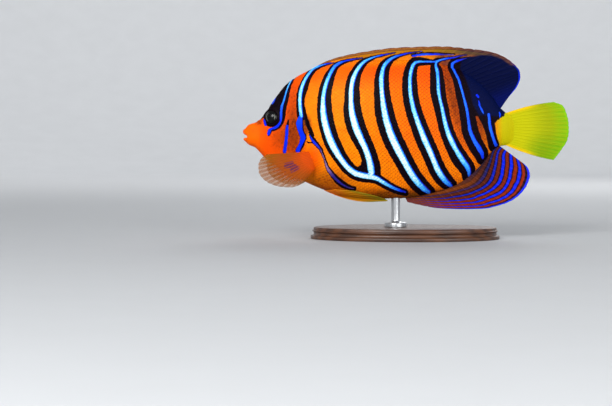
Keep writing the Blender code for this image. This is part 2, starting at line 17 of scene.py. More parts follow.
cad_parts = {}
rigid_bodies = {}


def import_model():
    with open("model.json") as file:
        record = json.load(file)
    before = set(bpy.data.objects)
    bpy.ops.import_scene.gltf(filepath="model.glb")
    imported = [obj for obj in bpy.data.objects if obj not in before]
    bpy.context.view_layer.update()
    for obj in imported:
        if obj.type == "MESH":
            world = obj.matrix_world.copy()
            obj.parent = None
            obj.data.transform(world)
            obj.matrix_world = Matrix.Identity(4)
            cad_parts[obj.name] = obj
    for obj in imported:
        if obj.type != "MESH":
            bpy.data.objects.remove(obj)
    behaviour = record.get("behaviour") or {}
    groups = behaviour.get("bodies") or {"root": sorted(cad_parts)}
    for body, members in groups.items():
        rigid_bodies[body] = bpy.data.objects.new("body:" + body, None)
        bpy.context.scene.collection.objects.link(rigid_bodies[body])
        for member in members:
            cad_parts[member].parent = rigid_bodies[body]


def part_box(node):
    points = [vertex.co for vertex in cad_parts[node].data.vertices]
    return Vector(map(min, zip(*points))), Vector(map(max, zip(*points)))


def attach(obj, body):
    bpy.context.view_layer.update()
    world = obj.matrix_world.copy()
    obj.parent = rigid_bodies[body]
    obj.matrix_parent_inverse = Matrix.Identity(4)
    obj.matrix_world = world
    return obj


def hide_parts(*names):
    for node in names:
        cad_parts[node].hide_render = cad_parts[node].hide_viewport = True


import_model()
bpy.context.view_layer.update()

# %% [markdown]
# A place on the fish is three lengths in millimetres: along the body from the tip of the upper lip, across it
# (plus is the fish's right), and up from the level axis through the body. The frame says where the lip is.

# %% Places on the fish
MM = 0.001
AXIS_HEIGHT = 75.0
lip_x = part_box("head")[0].x
FISH_LENGTH = (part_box("caudal_fin")[1].x - lip_x) / MM


def place(along, across, up):
    """Points of the fish in metres, as an array whose last axis is x, y, z."""
    along, across, up = np.broadcast_arrays(along, across, up)
    return np.stack([lip_x + along * MM, across * MM, (up + AXIS_HEIGHT) * MM], axis=-1)


print("length from lip to tail fin:", round(FISH_LENGTH, 1), "mm")

# %% [markdown]
# The outlines of back and belly, the half width and the like are each a few points. A cubic that never
# overshoots joins them, so a bump can't appear between two points, as it can with a plain spline.


# %% Smooth curves and hills
def smooth_curve(points):
    """A function of one length, as a smooth curve through points that never overshoots between them."""
    xs, ys = np.array(points, float).T
    step = np.diff(xs)
    slope = np.diff(ys) / step
    lean = np.zeros_like(ys)
    lean[0], lean[-1] = slope[0], slope[-1]
    before, after = slope[:-1], slope[1:]
    same = before * after > 0
    lean[1:-1][same] = (2 * before * after / np.where(same, before + after, 1))[same]

    def curve(x):
        x = np.clip(np.asarray(x, float), xs[0], xs[-1])
        k = np.clip(np.searchsorted(xs, x) - 1, 0, len(xs) - 2)
        t = (x - xs[k]) / step[k]
        start = ys[k] * (1 + 2 * t) * (1 - t) ** 2 + lean[k] * step[k] * t * (1 - t) ** 2
        end = ys[k + 1] * t * t * (3 - 2 * t) + lean[k + 1] * step[k] * t * t * (t - 1)
        return start + end

    return curve


def path(points):
    """A smooth path through points, as a function of the share of its length from first to last."""
    points = np.array(points, float)
    reach = np.concatenate([[0], np.cumsum(np.linalg.norm(np.diff(points[:, :2], axis=0), axis=1))])
    parts = [smooth_curve(np.stack([reach / reach[-1], column], axis=1)) for column in points.T]
    return lambda share: np.stack([part(share) for part in parts], axis=-1)


def rising(value, low, high):
    """0 below low, 1 above high and a smooth rise between. With low above high it falls."""
    t = np.clip((value - low) / (high - low), 0, 1)
    return t * t * (3 - 2 * t)


def bump(distance):
    """A smooth hill that is 1 at distance 0 and 0 from distance 1 on."""
    return np.clip(1 - distance**2, 0, 1) ** 2


# %% [markdown]
# The flesh. An angelfish is a tall, thin disc, so its sections are superellipses: round at the belly, boxy at
# the brow where the skull is wide, and keeled at the tail. These are the sizes that the solids were built
# from.

# %% Outlines of the flesh
BACK = [
    (3.0, 1.5), (4.1, 2.4), (9.1, 4.1), (12.2, 6.4), (14.0, 8.8), (16.7, 12.2), (18.9, 16.0), (23.2, 22.0),
    (28.9, 29.2), (34.4, 33.6), (45.9, 39.4), (59.5, 43.0), (76.5, 45.2), (96.8, 46.2), (113.8, 46.0),
    (127.4, 44.8), (141.0, 41.6), (153.2, 36.0), (162.7, 28.6), (169.5, 21.0), (174.3, 14.0), (178.0, 10.6),
]
BELLY = [
    (3.0, -10.5), (4.2, -11.4), (8.3, -13.2), (11.7, -16.7), (15.0, -20.6), (25.5, -27.5), (39.1, -35.0),
    (57.3, -42.6), (70.0, -45.6), (86.6, -47.5), (103.6, -47.9), (117.2, -46.5), (130.8, -43.6),
    (145.0, -38.6), (154.5, -32.2), (163.4, -23.0), (170.0, -15.0), (174.2, -12.4), (178.0, -11.8),
]
HALF_WIDTH = [
    (3.0, 5.1), (5.0, 5.7), (7.0, 6.1), (12.0, 7.2), (20.0, 9.4), (28.0, 11.5), (36.0, 13.4), (45.0, 15.2),
    (55.0, 16.5), (70.0, 17.4), (85.0, 17.1), (100.0, 15.8), (120.0, 12.8), (140.0, 9.2), (160.0, 5.9),
    (172.0, 4.2), (178.0, 3.4),
]
WIDEST_LINE = [
    (3.0, -6.2), (10.0, -6.2), (20.0, -5.5), (35.0, -4.0), (60.0, -2.0), (100.0, -1.0), (178.0, -0.7),
]
BLUNT_ABOVE = [
    (3.0, 0.8), (9.0, 0.58), (14.0, 0.42), (20.0, 0.4), (26.0, 0.52), (40.0, 0.85), (80.0, 1.0), (178.0, 1.1),
]
BLUNT_BELOW = [(3.0, 0.9), (20.0, 0.85), (60.0, 0.8), (100.0, 0.85), (140.0, 1.05), (178.0, 1.1)]
SNOUT_LAG = [(3.0, 1.6), (5.0, 1.3), (7.0, 0.8), (11.0, 0.0), (178.0, 0.0)]
FLESH_START, FLESH_END = 3.0, 178.0

back, belly, half_width, widest_line, blunt_above, blunt_below, snout_lag = (
    smooth_curve(points)
    for points in (BACK, BELLY, HALF_WIDTH, WIDEST_LINE, BLUNT_ABOVE, BLUNT_BELOW, SNOUT_LAG)
)
print("deepest section:", round(float((back(100) - belly(100))), 1), "mm")

# %% [markdown]
# What stands out of those plain sections or sinks into them: the gill cover with its free rear edge, the
# ridge of the cheek plate, the fleshy shoulder of the pectoral fin, the rim of the eye socket and the
# nostrils. Each is a height in millimetres over a place seen from the side, so the skin and every scale on it
# share them.

# %% Relief of head and shoulder
GILL_EDGE = [
    (30.0, 52.0), (33.8, 36.0), (36.0, 28.0), (39.5, 17.0), (42.0, 8.0), (44.0, 0.0), (45.0, -6.0),
    (43.6, -12.0), (42.2, -18.0), (38.5, -24.5), (32.5, -29.5), (27.0, -33.0), (22.0, -36.0),
]
CHEEK_RIDGE = [
    (30.6, 6.0), (30.7, 0.0), (30.2, -6.0), (29.4, -12.0), (28.2, -17.0), (25.5, -20.5), (21.5, -21.8),
]
EYE_AT = (19.8, 7.4)
NOSTRILS = [(11.1, 4.4), (8.8, 2.5)]
SHOULDER_AT, SHOULDER_SPREAD, SHOULDER_HEIGHT = (50.0, -20.5), (6.5, 11.0), 1.8
GILL_SWELL, GILL_LIP, GILL_STEP = 0.7, 0.15, 0.75
SOCKET_RIM, SOCKET_DEPTH = 0.55, 1.5
NOSTRIL_RIM, NOSTRIL_DEPTH = 0.25, 0.8
CHEEK_RIDGE_HEIGHT = 0.45

gill_along = smooth_curve([(-up, along) for along, up in GILL_EDGE])


def swell(along, up):
    """The broad forms that the solids have too: shoulder and gill cover."""
    away = np.hypot((along - SHOULDER_AT[0]) / SHOULDER_SPREAD[0], (up - SHOULDER_AT[1]) / SHOULDER_SPREAD[1])
    gill = GILL_SWELL * np.clip((along - 31) / 10, 0, 1) ** 2 * bump((up + 8) / 30)
    return SHOULDER_HEIGHT * bump(away) + gill


def line_field(points, along, up, reach):
    """Distance to a smooth line, side of it (plus is tailwards or above) and share of the way along it.

    Places further than reach from the line's box are left out; the first result says which are in.
    """
    line = path(points)(np.linspace(0, 1, 4 * len(points) + 1))
    low, high = line[:, :2].min(axis=0) - reach, line[:, :2].max(axis=0) + reach
    near = np.flatnonzero((along > low[0]) & (along < high[0]) & (up > low[1]) & (up < high[1]))
    x, y = along[near], up[near]
    best = np.full(len(near), 1e9)
    side, share = np.zeros(len(near)), np.zeros(len(near))
    for number, (start, end) in enumerate(zip(line[:-1, :2], line[1:, :2])):
        run = end - start
        t = np.clip(((x - start[0]) * run[0] + (y - start[1]) * run[1]) / (run @ run), 0, 1)
        dx, dy = x - start[0] - t * run[0], y - start[1] - t * run[1]
        distance = np.hypot(dx, dy)
        closer = distance < best
        best[closer] = distance[closer]
        side[closer] = np.sign(run[0] * dy - run[1] * dx)[closer]
        share[closer] = ((number + t) / (len(line) - 1))[closer]
    return near, best, side, share


def fine_relief(along, up):
    """How far, in millimetres, the finer forms of the head stand out of the skin."""
    height = np.zeros(along.shape)
    from_eye = np.hypot(along - EYE_AT[0], up - EYE_AT[1])
    height += SOCKET_RIM * bump((from_eye - 4.9) / 1.3) - SOCKET_DEPTH * rising(from_eye, 4.5, 3.6)
    for nostril in NOSTRILS:
        from_pit = np.hypot(along - nostril[0], up - nostril[1])
        height += NOSTRIL_RIM * bump((from_pit - 0.8) / 0.5) - NOSTRIL_DEPTH * bump(from_pit / 0.7)
    near, distance, _, share = line_field(CHEEK_RIDGE, along.ravel(), up.ravel(), 3.0)
    ridge = np.zeros(along.size)
    ridge[near] = bump(distance / 1.1) * rising(share, 0, 0.15) * rising(share, 1, 0.8)
    height += CHEEK_RIDGE_HEIGHT * ridge.reshape(along.shape)
    ahead = gill_along(-up) - along
    flap = rising(up, -36, -28) * rising(up, 36, 26)
    lip, drop = GILL_LIP * rising(ahead, 5, 0.5), GILL_STEP * rising(-ahead, 3.2, 0.0)
    height += flap * np.where(ahead > 0, lip, -drop)
    return height


# %% [markdown]
# A ring of the body is nine numbers: where its top, its bottom and its side lie, and how blunt it is above
# and below. The lips are rings too, rolled round the mouth's edge and into the throat, so one grid of points
# runs from the throat, over the lips, along the whole fish and over the wedge inside the tail fin.

# %% Rings from throat to tail
UPPER_LIP, LOWER_LIP, MOUTH_CORNER = (2.2, -2.4, 2.2), (1.4, -7.6, 1.05), (4.2, 3.9, 1.1)
MOUTH_LEVEL, THROAT_DEPTH = -6.2, 6.0
LIP_ROLLS = (-25, 163)
TAIL_TIP = 184.2
wedge_height = smooth_curve([(FLESH_END, 1.0), (180.5, 0.92), (183.0, 0.78), (TAIL_TIP, 0.55)])
wedge_width = smooth_curve(
    [(FLESH_END, 1.0), (180.0, 0.74), (182.0, 0.44), (183.4, 0.24), (TAIL_TIP, 0.14)]
)


def lip_rings(roll):
    """Rings round the lips; roll 0 faces the mouth's opening and 90 faces forward."""
    ahead, outward = -np.sin(np.radians(roll)), -np.cos(np.radians(roll))
    columns = [
        UPPER_LIP[0] + UPPER_LIP[2] * ahead, UPPER_LIP[1] + UPPER_LIP[2] * outward,
        LOWER_LIP[0] + LOWER_LIP[2] * ahead, LOWER_LIP[1] - LOWER_LIP[2] * outward,
        MOUTH_CORNER[0] + MOUTH_CORNER[2] * ahead, MOUTH_CORNER[1] + MOUTH_CORNER[2] * outward,
        MOUTH_LEVEL, 0.9, 0.9,
    ]
    return np.stack(np.broadcast_arrays(*columns), axis=-1)


def throat_rings(shares):
    """Rings that narrow from the inner edge of the lips to the end of the throat."""
    rings = np.repeat(lip_rings(np.array([LIP_ROLLS[0]])), len(shares), axis=0)
    for column, end in ((0, THROAT_DEPTH), (2, THROAT_DEPTH), (4, THROAT_DEPTH)):
        rings[:, column] += (end - rings[:, column]) * (1 - shares**2)
    for column, end in ((1, MOUTH_LEVEL), (3, MOUTH_LEVEL), (5, 0.0)):
        rings[:, column] += (end - rings[:, column]) * (1 - shares)
    return rings


def flesh_rings(along):
    """Rings of head and body, and of the wedge that the tail fin's rays grow over."""
    at = np.minimum(along, FLESH_END)
    middle = widest_line(at)
    high, wide = wedge_height(along), wedge_width(along)
    columns = [
        along, middle + (back(at) - middle) * high, along, middle + (belly(at) - middle) * high,
        along + snout_lag(at), half_width(at) * wide, middle, blunt_above(at), blunt_below(at),
    ]
    return np.stack(columns, axis=-1)


def ring_points(rings, angle):
    """Along, across and up of points on rings; angle 0 is the back and a quarter turn is the +Y side."""
    parts = np.moveaxis(rings, -1, 0)
    top_along, top_up, low_along, low_up, side_along, side_across, side_up, above, below = parts
    height, turn = np.cos(angle), np.abs(np.sin(angle))
    upper = height > 0
    along = side_along + (np.where(upper, top_along, low_along) - side_along) * height**2
    up = side_up + (np.where(upper, top_up, low_up) - side_up) * np.abs(height)
    across = side_across * turn ** np.where(upper, above, below)
    across = across + swell(along, up) * np.minimum(1, across / 4)
    return along, np.where(np.sin(angle) >= 0, across, -across), up


# %% [markdown]
# The skin is one closed surface of about 95,000 quads, finest on the head. It lies 0.3 mm inside the solids,
# the depth of the scales that will cover it, except on the naked lips.

# %% The grid of the skin
SCALE_DEPTH = 0.3
SIDES = 296
HEAD_END, BODY_END = 47, 163
LIPS_TO_SCALES = (9, 15)


def grid_normals(points, closed):
    """Unit normals of a grid of points; closed says whether the second axis runs round."""
    if closed:
        around = np.roll(points, -1, axis=1) - np.roll(points, 1, axis=1)
    else:
        around = np.gradient(points, axis=1)
    normals = np.cross(np.gradient(points, axis=0), around)
    return normals / np.maximum(np.linalg.norm(normals, axis=-1, keepdims=True), 1e-12)


def dressed(along, across, up, normals, depth):
    """Points of the skin: the plain surface, with its fine relief, sunk by a depth in millimetres."""
    rise = fine_relief(along, up) - depth
    return place(along, across, up) + normals * rise[..., None] * MM


skin_stations = np.concatenate(
    [
        np.linspace(FLESH_START, HEAD_END, 134, endpoint=False),
        np.linspace(HEAD_END, BODY_END, 118, endpoint=False),
        np.linspace(BODY_END, TAIL_TIP, 26),
    ]
)
skin_rings = np.concatenate(
    [
        throat_rings(np.linspace(0.1, 0.9, 7)),
        lip_rings(np.linspace(*LIP_ROLLS, 36)),
        flesh_rings(skin_stations),
    ]
)
lip_count = len(skin_rings) - len(skin_stations)
angles = np.arange(SIDES) * 2 * np.pi / SIDES
along, across, up = ring_points(skin_rings[:, None], angles)
plain = place(along, across, up)
normals = grid_normals(plain, closed=True)
depth = SCALE_DEPTH * rising(along, *LIPS_TO_SCALES)
skin_points = dressed(along, across, up, normals, depth)
print("skin grid:", skin_points.shape[:2], "outward check:", bool(normals[100, SIDES // 4, 1] > 0))

# %% [markdown]
# A grid of points becomes a mesh in one place: quads between neighbours, a fan at each end where the grid
# closes, and a map that unrolls the surface flat. The scales will take their places on the same unrolled map.


# %% From grid to mesh
def mesh_object(name, vertices, faces):
    """A smooth mesh object at the origin."""
    mesh = bpy.data.meshes.new(name)
    mesh.from_pydata(vertices, [], faces)
    mesh.validate()
    mesh.shade_smooth()
    ob = bpy.data.objects.new(name, mesh)
    bpy.context.scene.collection.objects.link(ob)
    return ob


def tube_object(name, points, first, last):
    """A closed surface from rings of points, with a fan to a point at each end."""
    rows, sides = points.shape[:2]
    index = np.arange(rows * sides).reshape(rows, sides)
    after = np.roll(index, -1, axis=1)
    quads = np.stack([index[:-1], index[1:], after[1:], after[:-1]], axis=-1).reshape(-1, 4)
    ends = rows * sides, rows * sides + 1
    fans = [(ends[0], a, b) for a, b in zip(index[0], after[0])]
    fans += [(ends[1], b, a) for a, b in zip(index[-1], after[-1])]
    vertices = np.concatenate([points.reshape(-1, 3), [first, last]])
    ob = mesh_object(name, vertices, quads.tolist() + fans)
    row, column = np.divmod(np.arange(rows * sides), sides)
    spread = np.stack([(row + 1) / (rows + 1), column / sides], axis=-1)
    flat = np.concatenate([spread, [[0, 0.5], [1, 0.5]]])
    corners = np.zeros(len(ob.data.loops), int)
    ob.data.loops.foreach_get("vertex_index", corners)
    unrolled = flat[corners]
    starts = np.zeros(len(ob.data.polygons), int)
    ob.data.polygons.foreach_get("loop_start", starts)
    number = np.repeat(np.arange(len(starts)), np.diff(np.append(starts, len(corners))))
    middle = np.add.reduceat(unrolled[:, 1], starts) / np.diff(np.append(starts, len(corners)))
    wrapped = (middle[number] > 0.6) & (unrolled[:, 1] == 0)
    unrolled[wrapped, 1] = 1
    ob.data.uv_layers.new(name="OFBake").data.foreach_set("uv", unrolled.ravel())
    return ob


throat_end = place(THROAT_DEPTH, 0, MOUTH_LEVEL)
wedge_tip = skin_points[-1].mean(axis=0)
skin = tube_object("skin", skin_points, throat_end, wedge_tip)
print("skin faces:", len(skin.data.polygons))

# %% [markdown]
# The markings. A regal angelfish is amber with white and blue bars, each edged in black. Every bar is a
# smooth line with a half width, in millimetres, and the black edge has a width of its own on each side. For
# any point of the skin, a scale or a fin, the script measures how far inside a bar or its edge the point
# lies, and keeps those distances on the mesh. The materials turn them into colour, so the bars run on across
# every piece.

# %% The lines of the bars
# Each bar: its line as (along, up, half width), black edges on the head side and the tail side, and how pale
# it is from top to end: 1 is white, 0 is royal blue, -0.5 is indigo and -1 is lavender. A bar that doesn't
# cross the middle of the fish has the half width there that it leaves free.
BARS = {
    "first": dict(
        line=[
            (62.0, 44.3, 0.15), (58.0, 43.7, 0.3), (54.9, 43.0, 0.45), (51.4, 41.9, 0.6),
            (47.9, 40.1, 0.75), (45.6, 37.7, 0.85), (43.4, 34.6, 0.95), (41.4, 30.8, 1.05),
            (39.9, 26.6, 1.15), (39.1, 22.2, 1.2), (38.9, 17.8, 1.15), (39.2, 13.0, 1.2),
            (39.9, 8.0, 1.15),
        ],
        edges=[(0.3, 0.5), (0.4, 1.3), (0.8, 2.2), (1.1, 3.1), (1.5, 2.0), (1.8, 1.8)],
        pale=(-0.5, 0.35, 0.6, 0.75, 0.8, 0.65),
    ),
    "gill": dict(
        line=[
            (39.15, 7.2, 1.3), (38.45, 3.4, 2.0), (38.75, 0.0, 1.7), (39.75, -3.4, 1.5),
            (40.95, -6.1, 1.7), (40.45, -8.1, 1.5), (39.45, -10.9, 1.15), (38.05, -13.6, 1.2),
            (37.45, -15.3, 1.4),
        ],
        edges=[(0.3, 0.6), (0.3, 0.9), (0.3, 0.7)],
        pale=(0.05, 0.0, 0.0),
    ),
    "shoulder": dict(
        line=[
            (45.4, -4.6, 0.2), (46.6, -7.0, 0.45), (48.1, -9.2, 0.75), (50.4, -11.7, 0.7),
            (52.8, -14.6, 0.5), (54.4, -18.3, 0.35), (55.8, -22.0, 0.35), (57.0, -25.8, 0.6),
            (58.8, -29.2, 0.9), (61.2, -32.2, 0.95), (64.3, -35.5, 0.75), (68.2, -38.5, 0.55),
            (72.8, -40.5, 0.35), (75.9, -41.2, 0.2),
        ],
        edges=[(0.4, 2.0), (0.6, 1.2), (0.4, 1.0), (0.5, 1.1), (1.7, 2.0), (1.4, 1.5)],
        pale=(0.05, -0.15, -0.8, -0.95, -0.45, -0.4, -0.6),
    ),
    "second": dict(
        line=[
            (81.5, 47.6, 0.2), (79.0, 47.2, 0.32), (75.2, 46.6, 0.4), (70.5, 45.7, 0.5),
            (66.8, 44.5, 0.7), (63.4, 42.6, 1.0), (60.9, 39.4, 1.15), (57.6, 32.6, 1.25),
            (55.6, 25.8, 1.3), (54.6, 19.0, 1.5), (54.7, 12.2, 1.95), (55.6, 5.4, 2.2),
            (57.3, -1.4, 2.25), (59.6, -8.1, 2.35), (63.0, -14.9, 2.2), (67.3, -21.7, 1.8),
            (72.6, -27.8, 1.8), (77.6, -31.0, 1.9), (83.0, -32.3, 1.9), (90.0, -33.6, 1.6),
            (96.8, -37.4, 1.3), (103.6, -41.0, 1.0), (110.4, -43.4, 0.6),
        ],
        edges=[
            (0.3, 0.5), (0.9, 1.5), (2.4, 3.6), (2.4, 4.2), (2.6, 3.9),
            (2.7, 3.3), (2.7, 2.4), (2.4, 1.8), (2.2, 1.4),
        ],
        pale=(-0.6, 0.2, 0.7, 0.9, 1.0, 1.0, 1.0, 0.75, -0.2),
    ),
    "third": dict(
        line=[
            (103.9, 51.2, 0.12), (99.5, 50.3, 0.25), (95.0, 49.4, 0.35), (90.5, 48.4, 0.45),
            (86.2, 46.9, 0.65), (82.6, 44.9, 0.95), (79.8, 42.2, 1.2), (77.5, 39.0, 1.3),
            (74.8, 32.6, 1.55), (73.7, 25.8, 1.5), (73.6, 19.0, 1.5), (74.0, 12.2, 1.9),
            (75.4, 5.4, 2.2), (77.6, -1.4, 2.3), (80.7, -8.1, 2.05), (83.8, -14.9, 1.9),
            (86.0, -21.7, 2.0), (87.2, -27.5, 2.3), (87.6, -30.5, 2.0),
        ],
        edges=[
            (0.3, 0.4), (0.6, 0.9), (1.9, 2.1), (2.7, 3.7), (3.3, 4.8),
            (4.1, 4.7), (3.8, 4.4), (3.2, 4.4), (2.6, 4.4),
        ],
        pale=(-0.6, 0.15, 0.68, 0.9, 1.0, 1.0, 1.0, 1.0, 0.9),
    ),
    "fourth": dict(
        line=[
            (121.5, 51.9, 0.12), (115.4, 51.1, 0.25), (111.5, 50.5, 0.4), (107.0, 49.4, 0.5),
            (102.3, 47.8, 0.75), (98.9, 45.4, 1.15), (96.4, 42.7, 1.3), (95.0, 39.2, 1.35),
            (94.15, 32.6, 1.55), (94.4, 25.8, 1.45), (95.1, 19.0, 1.65), (96.1, 12.2, 1.95),
            (97.6, 5.4, 2.2), (99.65, -1.4, 2.3), (102.3, -8.1, 2.4), (105.7, -14.9, 2.4),
            (109.35, -21.7, 2.15), (113.1, -28.5, 2.15), (117.7, -35.3, 2.1), (122.95, -40.8, 1.9),
            (126.25, -43.4, 1.3),
        ],
        edges=[
            (0.3, 0.4), (0.6, 1.1), (2.7, 3.2), (4.0, 4.0), (4.7, 4.3),
            (4.6, 4.4), (4.4, 4.2), (4.2, 3.8), (3.4, 3.4),
        ],
        pale=(-0.7, 0.05, 0.6, 0.85, 0.9, 1.0, 1.0, 0.9, 0.25),
    ),
    "fifth": dict(
        line=[
            (131.0, 44.9, 0.5), (125.6, 44.8, 0.55), (120.5, 44.9, 0.7), (117.0, 44.2, 1.0),
            (115.2, 41.8, 1.2), (114.2, 38.4, 1.2), (113.45, 32.6, 1.2), (113.6, 25.8, 1.3),
            (114.6, 19.0, 1.35), (116.2, 12.2, 1.5), (118.4, 5.4, 1.65), (120.95, -1.4, 1.8),
            (123.65, -8.1, 1.95), (126.75, -14.9, 1.85), (129.6, -21.7, 1.8), (132.6, -28.5, 1.9),
            (137.3, -35.3, 1.9), (141.05, -39.0, 1.3),
        ],
        edges=[
            (0.7, 1.6), (3.0, 2.4), (4.2, 3.8), (4.4, 3.8),
            (4.3, 3.8), (4.3, 3.8), (4.2, 3.8), (3.4, 3.4),
        ],
        pale=(0.1, 0.5, 0.7, 0.75, 0.85, 0.92, 0.9, 0.15),
    ),
    "sixth": dict(
        line=[
            (151.5, 49.4, 0.12), (147.0, 48.6, 0.3), (142.5, 47.5, 0.45), (138.0, 46.9, 0.5),
            (134.2, 46.0, 0.55), (131.4, 44.7, 0.7), (130.8, 42.4, 0.85), (131.7, 39.2, 1.1),
            (132.3, 34.0, 1.1), (132.7, 25.8, 1.2), (133.9, 19.0, 1.0), (135.5, 12.2, 1.15),
            (136.9, 5.4, 1.35), (138.7, -1.4, 1.55), (141.4, -8.1, 1.75), (144.9, -14.9, 1.6),
            (149.0, -21.4, 1.75), (152.2, -26.0, 1.75), (153.5, -29.8, 1.25), (153.6, -32.3, 0.75),
        ],
        edges=[
            (0.4, 0.5), (0.8, 0.6), (4.2, 2.8), (4.7, 3.7),
            (4.0, 3.1), (3.9, 2.8), (5.0, 3.3), (4.2, 3.2),
        ],
        pale=(-0.6, 0.1, 0.5, 0.65, 0.72, 0.8, 0.7, 0.15),
    ),
    "seventh": dict(
        line=[
            (155.5, 47.7, 0.12), (151.0, 46.9, 0.3), (147.0, 45.9, 0.5), (144.0, 44.9, 0.65),
            (142.0, 43.4, 0.8), (141.8, 41.6, 0.8), (143.2, 38.6, 0.75), (146.1, 33.0, 0.75),
            (148.0, 27.0, 0.75), (149.8, 20.5, 0.75), (151.9, 12.2, 0.85), (152.9, 5.4, 0.85),
            (154.0, -1.4, 1.1), (156.8, -8.1, 1.3), (160.0, -13.5, 1.5), (162.0, -17.0, 1.3),
            (162.7, -20.3, 0.6),
        ],
        edges=[(0.4, 0.6), (2.0, 3.0), (3.4, 3.8), (4.4, 3.8), (4.6, 3.8), (4.6, 3.6), (4.2, 3.0)],
        pale=(-0.6, 0.1, 0.15, 0.2, 0.1, 0.15, 0.0),
    ),
    "tail": dict(
        line=[
            (166.55, 9.3, 0.8), (167.35, 2.0, 0.95), (168.65, -3.4, 0.95), (169.75, -6.8, 0.95),
            (171.45, -11.5, 1.1),
        ],
        edges=[(3.2, 3.2), (3.2, 2.3), (4.2, 1.3)],
        pale=(0.1, 0.15, 0.05),
    ),
    "tail tick": dict(
        line=[
            (173.8, 10.6, 0.45), (174.2, 8.8, 0.5), (174.0, 7.2, 0.3),
        ],
        edges=[(2.0, 0.5), (1.4, 0.4)],
        pale=(0.05, 0.05),
    ),
    "tail dash": dict(
        line=[
            (159.8, 18.5, 0.3), (160.5, 15.3, 0.6), (161.6, 12.9, 0.6), (163.0, 10.0, 0.4),
        ],
        edges=[(1.0, 1.0), (1.0, 1.0)],
        pale=(0.0, 0.1),
    ),
    "tail spot": dict(
        line=[
            (158.5, 22.3, 0.7), (159.4, 21.1, 0.7),
        ],
        edges=[(0.6, 0.6), (0.6, 0.6)],
        pale=(0.0, 0.0),
    ),
    "brow": dict(
        line=[
            (39.8, 38.7, 0.15), (37.2, 36.9, 0.25), (34.9, 34.9, 0.3), (32.7, 32.0, 0.45),
            (30.65, 27.8, 0.45), (28.95, 22.4, 0.5), (27.75, 18.3, 0.65), (26.45, 14.3, 0.75),
            (26.05, 10.2, 0.72), (25.85, 5.4, 0.65), (24.3, 2.2, 0.75), (21.75, 0.3, 0.75),
            (18.6, -0.9, 0.85), (17.35, -3.9, 1.0),
        ],
        edges=[(0.2, 0.7), (0.2, 1.3), (0.2, 2.2), (0.2, 2.7), (0.2, 1.5), (0.2, 0.6)],
        pale=(0.7, 0.6, 0.4, 0.1, 0.0, 0.0),
    ),
    "cheek": dict(
        line=[
            (30.1, 1.6, 0.7), (30.0, -1.4, 0.9), (29.6, -6.8, 0.95), (29.0, -11.5, 1.0),
            (28.3, -16.0, 1.05),
        ],
        edges=[(0.2, 0.2), (0.2, 0.2)],
        pale=(0.0, 0.0),
    ),
    "forehead": dict(
        line=[
            (22.3, 21.4, 0.4), (20.9, 18.4, 0.65), (20.0, 16.6, 0.4),
        ],
        edges=[(0.2, 0.2), (0.2, 0.2)],
        pale=(0.1, 0.1),
        middle_free=1.5,
    ),
    "snout": dict(
        line=[
            (14.3, 5.8, 0.4), (14.9, 3.8, 0.65), (15.6, 1.9, 0.5),
        ],
        edges=[(0.2, 0.2), (0.2, 0.2)],
        pale=(-0.1, 0.0),
    ),
    "fin streak": dict(
        line=[
            (115.2, 48.7, 0.45), (118.5, 49.3, 0.6), (124.0, 49.8, 0.6), (129.5, 49.9, 0.55),
            (136.8, 49.6, 0.4), (143.0, 49.5, 0.2),
        ],
        edges=[(0.2, 0.9), (0.2, 0.9)],
        pale=(0.0, 0.05, -0.3, -0.7),
    ),
}
# Black lines with no blue in them, as (along, up, half width): four about the gill cover and the cheek, and
# a last one that rounds the end of the loop between the second and third bars. The third is a painted
# shadow in the gap between the gill cover and the shoulder of the pectoral fin.
DARK_LINES = [
    [
        (41.8, 14.0, 0.8), (42.3, 9.5, 1.1), (43.3, 5.4, 1.3), (44.5, 1.5, 1.4), (46.3, -1.8, 1.3),
        (47.9, -5.0, 1.0),
    ],
    [(30.9, 5.6, 0.4), (30.6, 3.0, 0.9), (30.5, 1.4, 0.9)],
    # Painted shadow in the gap between the gill cover and the pectoral fin's shoulder.
    [(43.4, -9.0, 0.2), (45.2, -9.9, 0.5), (47.4, -9.9, 0.5)],
    [(39.2, -15.6, 0.3), (40.6, -12.6, 0.6), (42.0, -10.6, 0.3)],
    [(82.2, -23.4, 1.6), (81.9, -25.6, 2.1), (80.6, -27.2, 2.4), (78.6, -28.0, 2.1), (76.6, -27.9, 1.2)],
]
# The black mask over the forehead and round the eye, and the dark rear of the back, as outlines.
MASK = [
    (34.2, 35.0), (31.6, 29.6), (29.6, 24.0), (28.0, 19.7), (27.0, 14.9), (26.4, 10.2), (26.2, 6.1),
    (25.2, 3.0), (22.8, 1.0), (18.7, 0.6), (16.0, 1.8), (14.9, 4.0), (14.0, 7.0), (11.8, 6.0), (12.0, 12.0),
    (18.0, 24.0), (29.0, 36.0),
]
DARK_REAR = [
    (160.0, 48.6), (152.0, 46.8), (146.4, 45.3), (143.0, 43.4), (144.6, 38.6), (147.2, 33.0), (149.4, 27.0),
    (151.2, 20.0), (152.8, 12.0), (154.6, 4.0), (157.0, -5.0), (162.0, -13.5),
    (170.5, -16.0), (171.3, -9.0), (170.1, -3.4), (169.8, 2.0), (172.6, 5.8), (177.0, 8.3), (180.0, 20.0),
    (176.0, 44.0),
]
REAR_BAR = [
    (158.6, 7.5, 0.7), (160.8, 1.5, 1.5), (163.4, -5.5, 1.9), (165.8, -11.0, 1.9), (167.6, -14.5, 1.3),
]
NAVY_PATCH = [
    (148.2, 46.0), (151.5, 47.4), (156.0, 48.6), (161.5, 49.6), (168.3, 49.3), (175.3, 46.8), (180.8, 42.8),
    (186.0, 42.0), (195.0, 30.0), (180.0, 9.0), (172.0, 8.0), (160.0, 9.0), (156.0, 16.0), (154.0, 25.0),
    (150.6, 34.0), (147.4, 40.0),
]
print("bars:", len(BARS), "points in their lines:", sum(len(bar["line"]) for bar in BARS.values()))

# %% [markdown]
# The lines were read off the fish's side from about 1.2 m away, where the bulging flank looks a little larger
# than the middle plane of the fins. So a point that stands out towards that side is looked up slightly
# further from the middle. Both sides use the same sum, which keeps the two flanks alike and the back without
# a seam.

